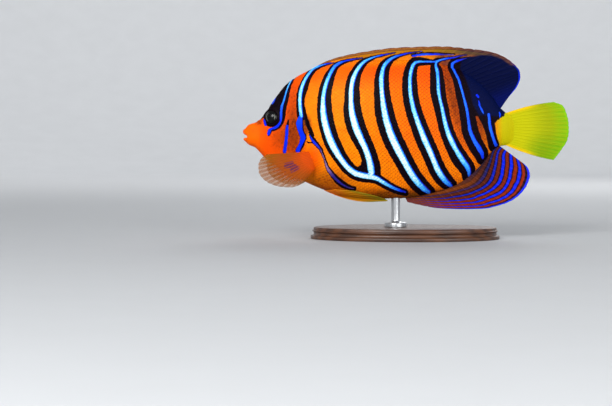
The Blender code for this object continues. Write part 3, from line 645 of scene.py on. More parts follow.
# %% Distances to the markings
VIEW_DISTANCE = 1180.0
FAR = 3.0
BLUE_FRINGE = 0.15
# How far from a line, in millimetres, the distances to it are worked out.
BAR_REACH, DARK_LINE_REACH = FAR + 5, FAR + 2


def side_view(points):
    """Along and up of points in metres, as the markings were measured."""
    nearer = VIEW_DISTANCE / (VIEW_DISTANCE - np.abs(points[:, 1]) / MM)
    middle = FISH_LENGTH / 2
    along = middle + ((points[:, 0] - lip_x) / MM - middle) * nearer
    return along, (points[:, 2] / MM - AXIS_HEIGHT) * nearer


def evenly(values):
    """A smooth curve through values that are spread evenly from 0 to 1."""
    return smooth_curve(list(zip(np.linspace(0, 1, len(values)), values)))


def outline_field(outline, along, up):
    """How far inside a closed outline each place lies; less than 0 is outside."""
    corners = np.array(outline)
    best = np.full(along.shape, 1e9)
    inside = np.zeros(along.shape, bool)
    for start, end in zip(corners, np.roll(corners, -1, axis=0)):
        run = end - start
        t = np.clip(((along - start[0]) * run[0] + (up - start[1]) * run[1]) / (run @ run), 0, 1)
        best = np.minimum(best, np.hypot(along - start[0] - t * run[0], up - start[1] - t * run[1]))
        spans = (start[1] > up) != (end[1] > up)
        crossing = start[0] + (up - start[1]) * run[0] / np.where(run[1] == 0, 1e-9, run[1])
        inside ^= spans & (along < crossing)
    return np.where(inside, best, -best)


def line_width_field(line, along, up):
    """How far inside a line's width each place lies."""
    field = np.full(along.shape, -FAR)
    near, distance, _, share = line_field(line, along, up, DARK_LINE_REACH)
    field[near] = path(line)(share)[:, 2] - distance
    return field


def markings(points):
    """The distances and shades that the materials read, for points in metres."""
    along, up = side_view(points)
    core, edge = np.full(len(points), -FAR), np.full(len(points), -FAR)
    pale, across = np.zeros(len(points)), np.zeros(len(points))
    for bar in BARS.values():
        near, distance, side, share = line_field(bar["line"], along, up, BAR_REACH)
        width = path(bar["line"])(share)[:, 2]
        ahead, behind = (evenly(values)(share) for values in zip(*bar["edges"]))
        depth = width - distance
        shade = evenly(bar["pale"])(share)
        inside = depth + np.where(side > 0, BLUE_FRINGE * np.clip(shade, 0, 1), 0)
        inside = np.minimum(inside, np.abs(points[near, 1]) / MM - bar.get("middle_free", -FAR))
        better = inside > core[near]
        core[near[better]] = inside[better]
        pale[near[better]] = shade[better]
        across[near[better]] = (side * distance / width)[better]
        edge[near] = np.maximum(edge[near], depth + np.where(side > 0, behind, ahead))
    for line in DARK_LINES:
        edge = np.maximum(edge, line_width_field(line, along, up))
    edge = np.maximum(edge, outline_field(MASK, along, up))
    rear = np.minimum(outline_field(DARK_REAR, along, up), -line_width_field(REAR_BAR, along, up))
    edge = np.maximum(edge, rear)
    navy = outline_field(NAVY_PATCH, along, up)
    fields = {"core": core, "edge": edge, "navy": navy}
    fields = {name: np.clip(field, -FAR, FAR) for name, field in fields.items()}
    return {**fields, "pale": pale, "across": np.clip(across, -2, 2), **ground_shades(along, up)}


def ground_shades(along, up):
    """How red, brown, olive and yellow the ground between the bars is, from 0 to 1."""

    def patch(middle, spread):
        return bump(np.hypot((along - middle[0]) / spread[0], (up - middle[1]) / spread[1]))

    ember = 0.62 * rising(along, 66, 125) * (1 - 0.7 * rising(up, -2, -30))
    ember += (0.75 - 0.4 * rising(along, 85, 115)) * rising(up, 20, 38)
    ember *= (1 - 0.85 * rising(up, 40, 46)) * (1 - rising(along, 158, 168))
    ember += rising(along, 45, 36) * (0.75 + 0.25 * rising(along, 7, 17)) + 0.8 * patch((48, -20), (10, 17))
    umber = patch((34.5, -6), (10, 24)) + 0.6 * patch((25, -6), (9, 14)) + 0.55 * patch((34, 16), (8, 25))
    umber += 1.6 * patch((43, 2), (5, 10)) + 0.8 * patch((11, 4.5), (4.5, 4))
    rear_gap = 141 + 0.245 * (26 - up)
    umber += bump((along - rear_gap) / 8.5) * rising(up, -24, 16) + 0.6 * rising(up, -37, -46)
    umber += 0.75 * patch((58, -37), (28, 13)) + patch((160.5, 5), (15, 32))
    umber += 0.6 * rising(up, -40, -45) * rising(along, 80, 100)
    olive = rising(up, -40, -47) * rising(along, 60, 85) + 0.6 * rising(up, 44.5, 48) * rising(along, 55, 70)
    shades = {"ember": ember, "umber": umber, "olive": olive, "yolk": rising(along, 169, 177)}
    return {name: np.clip(shade, 0, 1) for name, shade in shades.items()}


def coordinates(ob):
    """The vertices of an object as an array of points."""
    points = np.zeros(len(ob.data.vertices) * 3, np.float32)
    ob.data.vertices.foreach_get("co", points)
    return points.reshape(-1, 3).astype(float)


def keep(ob, name, values):
    """Keeps one number for each vertex under a name that materials can read."""
    layer = ob.data.attributes.new(name, "FLOAT", "POINT")
    layer.data.foreach_set("value", np.asarray(values, np.float32).ravel())


def mark(ob, brown=0.0):
    """Keeps all the markings on an object, with more brown, as painted shade, where it is given."""
    fields = markings(coordinates(ob))
    fields["umber"] = np.maximum(fields["umber"], brown)
    for name, values in fields.items():
        keep(ob, name, values)
    return ob


# Painted shade: the throat and the inner lips are made dark brown, as the shade inside the mouth.
MOUTH_SHADE_RINGS = (17, 8)
painted_mouth_shade = rising(np.arange(len(skin_rings)), *MOUTH_SHADE_RINGS)
mark(skin, np.append(np.repeat(painted_mouth_shade, SIDES), [1.0, 0.0]))
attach(skin, "root")
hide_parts("head", "torso", "tail_peduncle")
print("skin marked, attributes:", [layer.name for layer in skin.data.attributes if layer.domain == "POINT"])

# %% [markdown]
# Scales. A fish's scales overlap like roof tiles and point to the tail. Rows of them run parallel to the
# widest line of the body, staggered by half a scale, and fan out from the snout as the head grows deeper.
# Python works out where each scale is rooted and how it lies; a Geometry Nodes tree then sets a plate on each
# root, because it repeats one shape thousands of times from a few sizes.

# %% One plate
PLATE_ROWS = [(0.0, 0.36), (0.3, 0.46), (0.55, 0.5), (0.75, 0.47), (0.9, 0.38), (1.0, 0.22)]
PLATE_COLUMNS = 7
CROWN = 0.45


def plate_object():
    """A flat scale of length and width 1, from its root at 0 to its round rear edge at 1.

    Its points keep their heights over the skin, as a share of the lift: the blade rises to the rear and is
    crowned, so that it thins out to both sides.
    """
    shares = np.linspace(-1, 1, PLATE_COLUMNS)
    vertices, heights, rims = [], [], []
    for reach, half in PLATE_ROWS:
        for share in shares:
            x = reach * (1 - 0.09 * share**2)
            vertices.append((x, half * share, 0.0))
            heights.append(-0.15 + 1.1 * x - CROWN * (half * share * 2) ** 2)
            rims.append(max(rising(reach, 0.6, 1.0), abs(share) ** 3 * rising(reach, 0.2, 0.6)))
    index = np.arange(len(vertices)).reshape(len(PLATE_ROWS), PLATE_COLUMNS)
    top = np.stack([index[:-1, :-1], index[1:, :-1], index[1:, 1:], index[:-1, 1:]], axis=-1).reshape(-1, 4)
    below = [
        (index[k, 0], index[k, -1], index[k + 1, -1], index[k + 1, 0]) for k in range(len(PLATE_ROWS) - 1)
    ]
    ob = mesh_object("plate", vertices, top.tolist() + below + [tuple(index[0][::-1]), tuple(index[-1])])
    keep(ob, "rim", rims)
    spot = ob.data.attributes.new("spot", "FLOAT_VECTOR", "POINT")
    spots = [(x, y, height) for (x, y, _), height in zip(vertices, heights)]
    spot.data.foreach_set("vector", np.array(spots, np.float32).ravel())
    return ob


plate = plate_object()
print("faces of one plate:", len(plate.data.polygons))

# %% [markdown]
# Materials and Geometry Nodes are both graphs of small nodes. Wiring them by hand is long, so one small class
# wraps a socket: a sum written in Python adds the Math nodes that it needs, and every other node comes from
# one method, which sets the node's settings first and then gives each input a value or a link.


# %% A wire that can be added and multiplied
class Wire:
    """One output socket of a node in the tree that is being built."""

    tree = None

    def __init__(self, socket):
        self.socket = socket

    @classmethod
    def node(cls, kind, settings=None, sockets=None, out=0):
        """Adds a node and returns one of its outputs."""
        node = cls.tree.nodes.new(kind)
        settings = dict(settings or {})
        stops = settings.pop("stops", None)
        for name, value in settings.items():
            setattr(node, name, value)
        if stops:
            while len(node.color_ramp.elements) < len(stops):
                node.color_ramp.elements.new(1.0)
            for element, (at, colour) in zip(node.color_ramp.elements, stops):
                element.position = at
                element.color = colour
        for name, value in (sockets or {}).items():
            if isinstance(value, Wire):
                cls.tree.links.new(value.socket, node.inputs[name])
            else:
                node.inputs[name].default_value = value
        return cls(node.outputs[out]) if len(node.outputs) else None

    def also(self, out):
        """Another output of the same node."""
        return Wire(self.socket.node.outputs[out])

    def math(self, operation, first, second):
        return Wire.node("ShaderNodeMath", {"operation": operation}, {0: first, 1: second})

    def __add__(self, other):
        return self.math("ADD", self, other)

    def __radd__(self, other):
        return self.math("ADD", other, self)

    def __sub__(self, other):
        return self.math("SUBTRACT", self, other)

    def __rsub__(self, other):
        return self.math("SUBTRACT", other, self)

    def __mul__(self, other):
        return self.math("MULTIPLY", self, other)

    def __pow__(self, other):
        return self.math("POWER", self, other)


def maximum(first, second):
    return first.math("MAXIMUM", first, second)


# %% [markdown]
# Each scale needs a place, a direction and a size. Stations along the body are half a scale apart, and round
# each station the roots are evenly spaced, measured along the skin from the widest line. Every second station
# is staggered, so each scale shows as a rounded diamond. The direction is the skin's own: its tangent to the
# tail is the scale's length and its normal is up.

# %% Roots of the scales
PITCH = smooth_curve(
    [
        (11, 1.0), (20, 1.25), (32, 1.7), (44, 2.1), (60, 2.6), (90, 2.95), (130, 2.9), (155, 2.4),
        (170, 1.8), (184, 1.4),
    ]
)
ACROSS_SHARE = 0.85
ROW_WANDER = 0.06
FIRST_SCALES, LAST_SCALES = 10.5, 183.0
EYE_CLEAR, NOSTRIL_CLEAR = 5.6, 1.3
# How far back a scale reaches, in pitches, when it is tested against the eye, a nostril and the gill cover.
EYE_REACH, NOSTRIL_REACH, GILL_REACH = 1.3, 0.8, 1.45
GILL_HALF_HEIGHT = 34.0
PARTS_OF_COAT = {"head": (0.0, 44.0), "front": (44.0, 92.0), "rear": (92.0, 190.0)}


def scale_stations():
    """Stations of scale rows along the body, half a scale apart."""
    stations = [FIRST_SCALES]
    while stations[-1] < LAST_SCALES:
        stations.append(stations[-1] + float(PITCH(stations[-1])) / 2)
    return np.array(stations)


def ring_roots(number, station, spread):
    """Angles round one ring where scales are rooted, on the +Y half."""
    fine = np.linspace(0, np.pi, 721)
    along, across, up = ring_points(flesh_rings(np.array([station]))[:, None], fine[None])
    points = np.stack([along[0], across[0], up[0]], axis=-1)
    length = np.concatenate([[0], np.cumsum(np.linalg.norm(np.diff(points, axis=0), axis=1))])
    middle = np.interp(np.pi / 2, fine, length)
    gap = ACROSS_SHARE * float(PITCH(station))
    offset = 0.5 if number % 2 else 0.0
    first = np.ceil((0.25 * gap - middle) / gap - offset)
    last = np.floor((length[-1] - 0.25 * gap - middle) / gap - offset)
    wanted = middle + (np.arange(first, last + 1) + offset) * gap
    wanted = wanted + gap * ROW_WANDER * spread.uniform(-1, 1, len(wanted))
    return np.interp(wanted, length, fine)


def skin_frame(along_at, angle):
    """Place on the dressed skin, tangent towards the tail and outward normal, for each root."""
    step, turn = 0.15, 0.004
    spots = []
    for ahead, around in ((0, 0), (-step, 0), (step, 0), (0, -turn), (0, turn)):
        rings = flesh_rings(np.clip(along_at + ahead, FLESH_START, TAIL_TIP))
        spots.append(place(*ring_points(rings, angle + around)))
    tangent = spots[2] - spots[1]
    normal = np.cross(tangent, spots[4] - spots[3])
    tangent /= np.linalg.norm(tangent, axis=1, keepdims=True)
    normal /= np.linalg.norm(normal, axis=1, keepdims=True)
    rings = flesh_rings(along_at)
    along, across, up = ring_points(rings, angle)
    return dressed(along, across, up, normal, np.full(len(along), SCALE_DEPTH)), tangent, normal, along, up


def scale_roots():
    """All the roots of the +Y side, with their sizes and directions."""
    stations = scale_stations()
    spread = np.random.default_rng(4)
    pairs = [(station, ring_roots(number, station, spread)) for number, station in enumerate(stations)]
    along_at = np.concatenate([np.full(len(angles), station) for station, angles in pairs])
    along_at = along_at + ROW_WANDER * PITCH(along_at) * spread.uniform(-1, 1, len(along_at))
    angle = np.concatenate([angles for _, angles in pairs])
    points, tangent, normal, along, up = skin_frame(along_at, angle)
    pitch = PITCH(along_at)
    keep_it = np.hypot(along - EYE_AT[0], up - EYE_AT[1]) > EYE_CLEAR
    reach = np.hypot(along + EYE_REACH * pitch - EYE_AT[0], up - EYE_AT[1])
    keep_it &= reach > EYE_CLEAR
    for nostril in NOSTRILS:
        blade = along + NOSTRIL_REACH * pitch
        keep_it &= np.hypot(blade - nostril[0], up - nostril[1]) > NOSTRIL_CLEAR
    to_gill = gill_along(-up) - along
    crossing = (to_gill > 0.0) & (to_gill < GILL_REACH * pitch) & (np.abs(up) < GILL_HALF_HEIGHT)
    keep_it &= ~crossing & (spread.random(len(along_at)) > 0.85 * rising(along_at, 179, 184))
    return {
        "points": points[keep_it], "tangent": tangent[keep_it], "normal": normal[keep_it],
        "pitch": pitch[keep_it], "along_at": along_at[keep_it], "angle": angle[keep_it],
    }


roots = scale_roots()
print("scales on one side:", len(roots["pitch"]), "stations:", len(scale_stations()))

# %% [markdown]
# The tree. Plates are set on the roots, turned by each root's stored direction with a little random turn,
# made real, and then laid onto the skin: every point of a plate drops to the nearest place on the skin and
# rises again by the height that the plate gives it. That way no scale stands off where the body curves.

# %% The Geometry Nodes tree for scales
def scale_tree():
    tree = bpy.data.node_groups.new("Scales", "GeometryNodeTree")
    Wire.tree = tree
    inputs = [
        ("Roots", "Geometry"), ("Plate", "Object"), ("Skin", "Object"), ("Length", "Float"),
        ("Breadth", "Float"), ("Lift", "Float"), ("Patch", "Float"), ("Jitter", "Float"), ("Seed", "Int"),
        ("Material", "Material"),
    ]
    for name, kind in inputs:
        tree.interface.new_socket(name, in_out="INPUT", socket_type="NodeSocket" + kind)
    tree.interface.new_socket("Scales", in_out="OUTPUT", socket_type="NodeSocketGeometry")
    given = Wire.node("NodeGroupInput", out="Roots")

    def stored(name, data_type):
        settings = {"data_type": data_type}
        return Wire.node("GeometryNodeInputNamedAttribute", settings, {"Name": name}, out="Attribute")

    def vector(operation, first, second):
        return Wire.node("ShaderNodeVectorMath", {"operation": operation}, {0: first, 1: second})

    def scaled(first, factor):
        settings = {"operation": "SCALE"}
        return Wire.node("ShaderNodeVectorMath", settings, {0: first, "Scale": factor})

    turn = Wire.node("FunctionNodeEulerToRotation", {}, {"Euler": stored("turn", "FLOAT_VECTOR")})
    jitter = given.also("Jitter")
    sockets = {2: jitter * -1.0, 3: jitter, "Seed": given.also("Seed")}
    swing = Wire.node("FunctionNodeRandomValue", {"data_type": "FLOAT"}, sockets, out=1)
    swing = Wire.node("ShaderNodeCombineXYZ", {}, {"Z": swing})
    swing = Wire.node("FunctionNodeEulerToRotation", {}, {"Euler": swing})
    sockets = {"Rotation": turn, "Rotate By": swing}
    turned = Wire.node("FunctionNodeRotateRotation", {"rotation_space": "LOCAL"}, sockets)
    pitch = stored("pitch", "FLOAT")
    size = {"X": pitch * given.also("Length"), "Y": pitch * given.also("Breadth"), "Z": 1.0}
    size = Wire.node("ShaderNodeCombineXYZ", {}, size)
    plate_shape = Wire.node("GeometryNodeObjectInfo", {}, {"Object": given.also("Plate")}, out="Geometry")
    sockets = {"Points": given, "Instance": plate_shape, "Rotation": turned, "Scale": size}
    placed = Wire.node("GeometryNodeInstanceOnPoints", {}, sockets)
    real = Wire.node("GeometryNodeRealizeInstances", {}, {"Geometry": placed})

    skin_shape = Wire.node("GeometryNodeObjectInfo", {}, {"Object": given.also("Skin")}, out="Geometry")
    spot = stored("spot", "FLOAT_VECTOR")
    parts = Wire.node("ShaderNodeSeparateXYZ", {}, {0: spot}, out="Z")

    def on_skin(field):
        settings = {"data_type": "FLOAT_VECTOR"}
        return Wire.node("GeometryNodeSampleNearestSurface", settings, {"Mesh": skin_shape, "Value": field})

    ground = on_skin(Wire.node("GeometryNodeInputPosition"))
    outward = on_skin(Wire.node("GeometryNodeInputNormal"))
    outward = Wire.node("ShaderNodeVectorMath", {"operation": "NORMALIZE"}, {0: outward})
    laid = vector("ADD", ground, scaled(outward, parts * given.also("Lift") * stored("rise", "FLOAT")))
    shaped = Wire.node("GeometryNodeSetPosition", {}, {"Geometry": real, "Position": laid})
    patch = vector("ADD", stored("root", "FLOAT_VECTOR"), scaled(spot, given.also("Patch")))
    settings = {"data_type": "FLOAT2", "domain": "CORNER"}
    sockets = {"Geometry": shaped, "Name": "OFBake", "Value": patch}
    mapped = Wire.node("GeometryNodeStoreNamedAttribute", settings, sockets)
    sockets = {"Geometry": mapped, "Material": given.also("Material")}
    finished = Wire.node("GeometryNodeSetMaterial", {}, sockets)
    Wire.node("NodeGroupOutput", {}, {"Scales": finished})
    return tree

# %% [markdown]
# The coat of colour. Every piece of the fish that carries markings reads the same stored distances: ground
# first, then the black edges, then the blue and white of the bars. A slow noise moves each border by two or
# three tenths of a millimetre, as pigment cells do, and the free rims of the scales are a little darker.


# %% Colours and the fish's skin
def rgb(red, green, blue):
    """A colour from the 0 to 255 scale, as the renderer's own linear light."""
    parts = np.array([red, green, blue]) / 255
    linear = np.where(parts > 0.04045, ((parts + 0.055) / 1.055) ** 2.4, parts / 12.92)
    return (*(float(part) for part in linear), 1.0)


AMBER, RED_ORANGE, UMBER, OLIVE = rgb(255, 138, 0), rgb(255, 84, 0), rgb(112, 44, 6), rgb(104, 74, 4)
YOLK = rgb(194, 184, 0)
BLACK, NAVY = rgb(12, 1, 7), rgb(0, 9, 54)
LAVENDER, INDIGO, ROYAL = rgb(150, 112, 160), rgb(44, 34, 130), rgb(4, 44, 240)
SKY, AQUA, WHITE = rgb(62, 176, 255), rgb(140, 228, 255), rgb(224, 247, 255)


def read(name):
    """A number that is stored on the mesh."""
    return Wire.node("ShaderNodeAttribute", {"attribute_name": name}, out="Fac")


def step(value, low, high):
    """0 below low, 1 above high, smooth between."""
    sockets = {"Value": value, "From Min": low, "From Max": high}
    return Wire.node("ShaderNodeMapRange", {"interpolation_type": "SMOOTHSTEP"}, sockets, out="Result")


def mix(factor, first, second):
    """Blends two colours."""
    return Wire.node("ShaderNodeMix", {"data_type": "RGBA"}, {0: factor, 6: first, 7: second}, out=2)


def noise(scale, detail=2.0, roughness=0.5, vector=None):
    """A cloudy pattern from 0 to 1; scale is its repeats in a metre."""
    place_on = vector or Wire.node("ShaderNodeTexCoord", out="Object")
    sockets = {"Vector": place_on, "Scale": scale, "Detail": detail, "Roughness": roughness}
    return Wire.node("ShaderNodeTexNoise", {}, sockets)


def start_material(name):
    """An empty material whose nodes are wired next."""
    material = bpy.data.materials.new(name)
    material.use_nodes = True
    material.node_tree.nodes.clear()
    Wire.tree = material.node_tree
    return material


def surface(colour, roughness, height=None, depth=0.0001, **sockets):
    """Ends a material in a Principled shader, with an optional bump of a real depth."""
    values = {"Base Color": colour, "Roughness": roughness}
    values.update({name.replace("_", " "): value for name, value in sockets.items()})
    if height is not None:
        relief = {"Strength": 1.0, "Distance": depth, "Height": height}
        values["Normal"] = Wire.node("ShaderNodeBump", {}, relief)
    shader = Wire.node("ShaderNodeBsdfPrincipled", {}, values)
    Wire.node("ShaderNodeOutputMaterial", {}, {"Surface": shader})


def stage_of_stripe(pale):
    """The colour of a bar's core: lavender at -1, indigo, royal blue at 0, sky blue and white at 1."""
    stops = [(0.0, LAVENDER), (0.28, INDIGO), (0.5, ROYAL), (0.74, SKY), (0.88, AQUA), (0.98, WHITE)]
    return Wire.node("ShaderNodeValToRGB", {"stops": stops}, {"Fac": pale * 0.5 + 0.5})


def ground_colour():
    """Amber to red-orange with brown, olive and yellow shades, a little uneven."""
    cloud = noise(140.0, 3.0)
    ground = mix(read("ember"), AMBER, RED_ORANGE)
    # The umber also carries the painted shade inside the mouth.
    ground = mix(read("umber") * 0.9, ground, UMBER)
    ground = mix(read("olive") * 0.7, ground, OLIVE)
    ground = mix(step(cloud, 0.35, 0.8) * 0.26, ground, rgb(206, 76, 4))
    speckle = step(noise(640.0, 2.0), 0.48, 0.68)
    ground = mix(speckle * (read("umber") * 0.55 + 0.07), ground, rgb(44, 12, 8))
    return mix(read("yolk"), ground, YOLK)


def banded(ground):
    """A ground colour with the black edges and the bars over it."""
    wobble = (noise(420.0, 2.0) - 0.5) * 0.85 + (noise(1000.0, 1.0) - 0.5) * 0.55
    core, edge = read("core") + wobble * 0.75, read("edge") + wobble
    across = read("across")
    grain = (noise(760.0, 2.0) - 0.5) * 0.7
    fade = step(across, 0.35, 1.1) * 0.95 + step(across, -0.6, -1.0) * 0.35 + grain
    fade = fade * step(read("pale"), 0.0, 0.5)
    dark = mix(step(read("navy"), -0.8, 0.8), BLACK, NAVY)
    colour = mix(step(edge, -0.16, 0.16), ground, dark)
    return mix(step(core, -0.16, 0.16), colour, stage_of_stripe(read("pale") - fade))


def scaled_skin():
    material = start_material("scaled_skin")
    rim = read("rim")
    amber = 1.0 - read("yolk")
    ground = mix(read("tone") * amber * 0.16, ground_colour(), rgb(226, 84, 2))
    ground = mix(step(rim, 0.45, 1.0) * read("rim_shade") * (0.3 + amber * 0.7), ground, rgb(112, 34, 6))
    colour = banded(ground)
    colour = mix(step(rim, 0.5, 1.0) * read("rim_shade") * 0.35, colour, rgb(16, 10, 40))
    grain = noise(2600.0, 2.0)
    rough = 0.42 + grain * 0.16
    surface(colour, rough, grain, 0.00004, Specular_IOR_Level=0.045, Coat_Weight=0.01, Coat_Roughness=0.25)
    return material


scaled = scaled_skin()
skin.data.materials.append(scaled)
print("skin material:", len(scaled.node_tree.nodes), "nodes")

# %% [markdown]
# Now the scales themselves, in six pieces so that each stays light: head, front and rear of the body, on both
# sides. The left side's roots are the right side's, mirrored.

# %% Scales on the skin
def euler_angles(tangent, normal):
    """The turn of each root's frame, as angles about x, y and z."""
    aside = np.cross(normal, tangent)
    about_x = np.arctan2(aside[:, 2], normal[:, 2])
    about_y = -np.arcsin(np.clip(tangent[:, 2], -1, 1))
    about_z = np.arctan2(tangent[:, 1], tangent[:, 0])
    return np.stack([about_x, about_y, about_z], axis=1)


def vector_layer(ob, name, values):
    layer = ob.data.attributes.new(name, "FLOAT_VECTOR", "POINT")
    layer.data.foreach_set("vector", np.asarray(values, np.float32).ravel())


def coat_piece(name, chosen, side, seed):
    """The scales on some of the roots, as a plain mesh."""
    flip = np.array([1, side, 1])
    points, tangent, normal = (roots[key][chosen] * flip for key in ("points", "tangent", "normal"))
    along_at, angle = roots["along_at"][chosen], roots["angle"][chosen]
    row = lip_count + np.interp(along_at, skin_stations, np.arange(len(skin_stations)))
    turn_share = angle / (2 * np.pi) if side > 0 else 1 - angle / (2 * np.pi)
    unrolled = np.stack([(row + 1) / (len(skin_rings) + 1), turn_share, np.zeros(len(row))], axis=1)
    base = mesh_object(name + "_roots", points, [])
    vector_layer(base, "turn", euler_angles(tangent, normal))
    vector_layer(base, "root", unrolled)
    keep(base, "pitch", roots["pitch"][chosen] * MM)
    keep(base, "rise", 0.3 + 0.7 * rising(roots["pitch"][chosen], 0.9, 2.2))
    keep(base, "tone", np.random.default_rng(seed).random(len(points)))
    modifier = base.modifiers.new("Scales", "NODES")
    modifier.node_group = tree_of_scales
    given = {
        "Plate": plate, "Skin": skin, "Length": 1.6, "Breadth": 1.0, "Lift": SCALE_DEPTH * MM, "Patch": 0.003,
        "Jitter": 0.07, "Seed": seed, "Material": scaled,
    }
    for socket in tree_of_scales.interface.items_tree:
        if socket.in_out == "INPUT" and socket.name in given:
            modifier[socket.identifier] = given[socket.name]
    bpy.context.view_layer.update()
    evaluated = base.evaluated_get(bpy.context.evaluated_depsgraph_get())
    mesh = bpy.data.meshes.new_from_object(evaluated)
    base.modifiers.clear()
    bpy.data.objects.remove(base)
    piece = bpy.data.objects.new(name, mesh)
    bpy.context.scene.collection.objects.link(piece)
    return piece


tree_of_scales = scale_tree()
coat = []
for part, (first, last) in PARTS_OF_COAT.items():
    chosen = (roots["along_at"] >= first) & (roots["along_at"] < last)
    for side_name, side in (("right", 1), ("left", -1)):
        piece = coat_piece("scales_" + part + "_" + side_name, chosen, side, len(coat) + 1)
        mark(piece)
        along_body = side_view(coordinates(piece))[0]
        keep(piece, "rim_shade", 0.1 + 0.4 * rising(along_body, 40, 150))
        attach(piece, "root")
        coat.append(piece)
        triangles = sum(len(face.vertices) - 2 for face in piece.data.polygons)
        print(piece.name, "scales:", int(chosen.sum()), "triangles:", triangles)
bpy.data.objects.remove(plate)
layers = [layer.name for layer in coat[0].data.attributes]
print(layers[:20], "uv", [uv.name for uv in coat[0].data.uv_layers])

# %% [markdown]
# Fins. Each is a closed, thin slab: a fine grid from its first ray to its last and from root to margin, with
# a front and a back. Rays are ridges in its surface. A spine is one stout ridge to a point; a soft ray splits
# in two half way out and again near the margin. The web between two spines is notched, and between soft rays
# it only dips a little. The root is sunk into the flesh, as real fin bases are.

# %% Sizes and places of the fins
DORSAL_RAYS = [
    (37.5, 41.5, 37.4), (52.6, 61.0, 46.9), (73.0, 82.0, 51.6), (96.8, 107.0, 54.6), (120.6, 134.2, 55.2),
    (134.2, 153.2, 53.6), (144.3, 169.5, 50.9), (152.5, 181.0, 45.2), (159.3, 187.3, 38.0),
    (164.7, 187.7, 34.0), (167.8, 185.4, 27.8), (170.9, 182.4, 23.9), (173.6, 179.7, 20.7),
]
ANAL_RAYS = [
    (109.0, 112.0, -50.2), (115.0, 122.0, -52.5), (122.0, 134.2, -54.4), (131.4, 149.1, -54.9),
    (140.3, 162.7, -54.6), (147.1, 173.5, -52.4), (152.5, 182.4, -48.9), (157.3, 188.8, -43.8),
    (161.3, 192.9, -37.7), (165.0, 194.5, -31.9), (168.1, 193.3, -27.2), (172.0, 190.5, -24.1),
]
TAIL_TIPS = [
    (210.2, 17.6), (215.9, 15.4), (218.9, 9.5), (220.2, 3.4), (220.4, -2.4), (219.4, -8.1), (215.7, -14.3),
    (212.6, -18.6), (210.2, -21.5),
]
TAIL_ROOT, TAIL_RAY_BOW = (176.0, 9.4, -10.6), 1.3
PECTORAL_ROOT = [(46.4, -15.6), (48.6, -20.4), (49.6, -26.0)]
PECTORAL_TIPS = [
    (18.6, -17.4), (14.9, -20.4), (13.4, -24.6), (13.8, -29.2), (16.4, -33.4), (21.2, -36.8), (27.6, -38.9),
    (34.4, -39.4), (40.0, -38.0), (44.0, -35.0),
]
PECTORAL_LEAN, PECTORAL_SINK, PECTORAL_CUP = 28.0, 2.0, 1.2
PELVIC_ROOT = [(55.5, -41.6), (60.0, -41.4)]
PELVIC_TIPS = [(88.0, -50.0), (98.6, -49.3), (95.5, -47.4), (90.0, -45.6), (83.5, -43.9), (76.5, -42.3)]
PELVIC_SAG, PELVIC_CLEARANCE, PELVIC_SOFTNESS, PELVIC_SINK = 2.4, 1.0, 0.03, 1.6
FIN_SINK = 3.0


def by_order(points):
    """A smooth path through points that are spread evenly over 0 to 1."""
    points = np.array(points, float)
    parts = [evenly(column) for column in points.T]
    return lambda share: np.stack([part(share) for part in parts], axis=-1)


def hill(out):
    return 4 * out * (1 - out)


def flank(along, up):
    """Half width of the flesh at a place seen from the side, and 0 beyond its outline."""
    middle = widest_line(along)
    edge = np.where(up > middle, back(along), belly(along))
    blunt = np.where(up > middle, blunt_above(along), blunt_below(along))
    reach = np.clip(1 - ((up - middle) / (edge - middle)) ** 2, 0, 1)
    across = half_width(along) * reach ** (blunt / 2)
    return across + swell(along, up) * np.clip(across / 4, 0, 1)


def median_place(rays, edge, inward):
    """Where a point of the dorsal or anal fin lies, by its share along the fin and its share out."""
    path_of_rays = by_order(rays)

    def where(share, out):
        start, along, up = np.moveaxis(path_of_rays(share), -1, 0)
        rise = edge(start) + inward * FIN_SINK
        return start + (along - start) * out, np.zeros_like(out), rise + (up - rise) * out

    return where


def tail_place(share, out):
    along, up = np.moveaxis(by_order(TAIL_TIPS)(share), -1, 0)
    start, top, low = TAIL_ROOT
    rise = top + (low - top) * share
    bow = TAIL_RAY_BOW * (1 - 2 * share) * hill(out)
    return start + (along - start) * out, np.zeros_like(out), rise + (up - rise) * out + bow


def pectoral_place(share, out):
    root, tip = by_order(PECTORAL_ROOT)(share), by_order(PECTORAL_TIPS)(share)
    along, up = np.moveaxis(root + (tip - root) * out[..., None], -1, 0)
    spread = np.hypot(*np.moveaxis(tip - root, -1, 0)) * np.tan(np.radians(PECTORAL_LEAN))
    across = flank(root[..., 0], root[..., 1]) - PECTORAL_SINK + (spread + PECTORAL_SINK) * out
    return along + PECTORAL_SINK / 2 * (1 - out), across + PECTORAL_CUP * hill(out), up


def pelvic_place(share, out):
    root, tip = by_order(PELVIC_ROOT)(share), by_order(PELVIC_TIPS)(share)
    along, up = np.moveaxis(root + (tip - root) * out[..., None], -1, 0)
    up = up - PELVIC_SAG * hill(out) * (1 - share)
    middle = widest_line(along)
    reach = 1 - ((up - middle) / (belly(along) - middle)) ** 2
    reach = (reach + np.hypot(reach, PELVIC_SOFTNESS)) / 2
    across = half_width(along) * reach ** (blunt_below(along) / 2)
    lift = -PELVIC_SINK + (PELVIC_SINK + PELVIC_CLEARANCE) * np.minimum(1, out / 0.2)
    return along, across + lift, up


print("half width where the pectoral fin grows:", round(float(flank(*PECTORAL_ROOT[1])), 1), "mm")

# %% [markdown]
# One function builds every fin. The thickness of a real fin is a millimetre or two at the root and next to
# nothing at the margin, so both the web and the rays taper.


# %% From rays to a slab
# How far the branches of a soft ray spread, where the second pair parts, and how deep the margin dips.
BRANCH_SPREAD, TWIG_SPREAD, TWIGS_AT = 0.17, 0.085, 0.74
SPINE_NOTCH, RAY_NOTCH = 0.03, 0.006


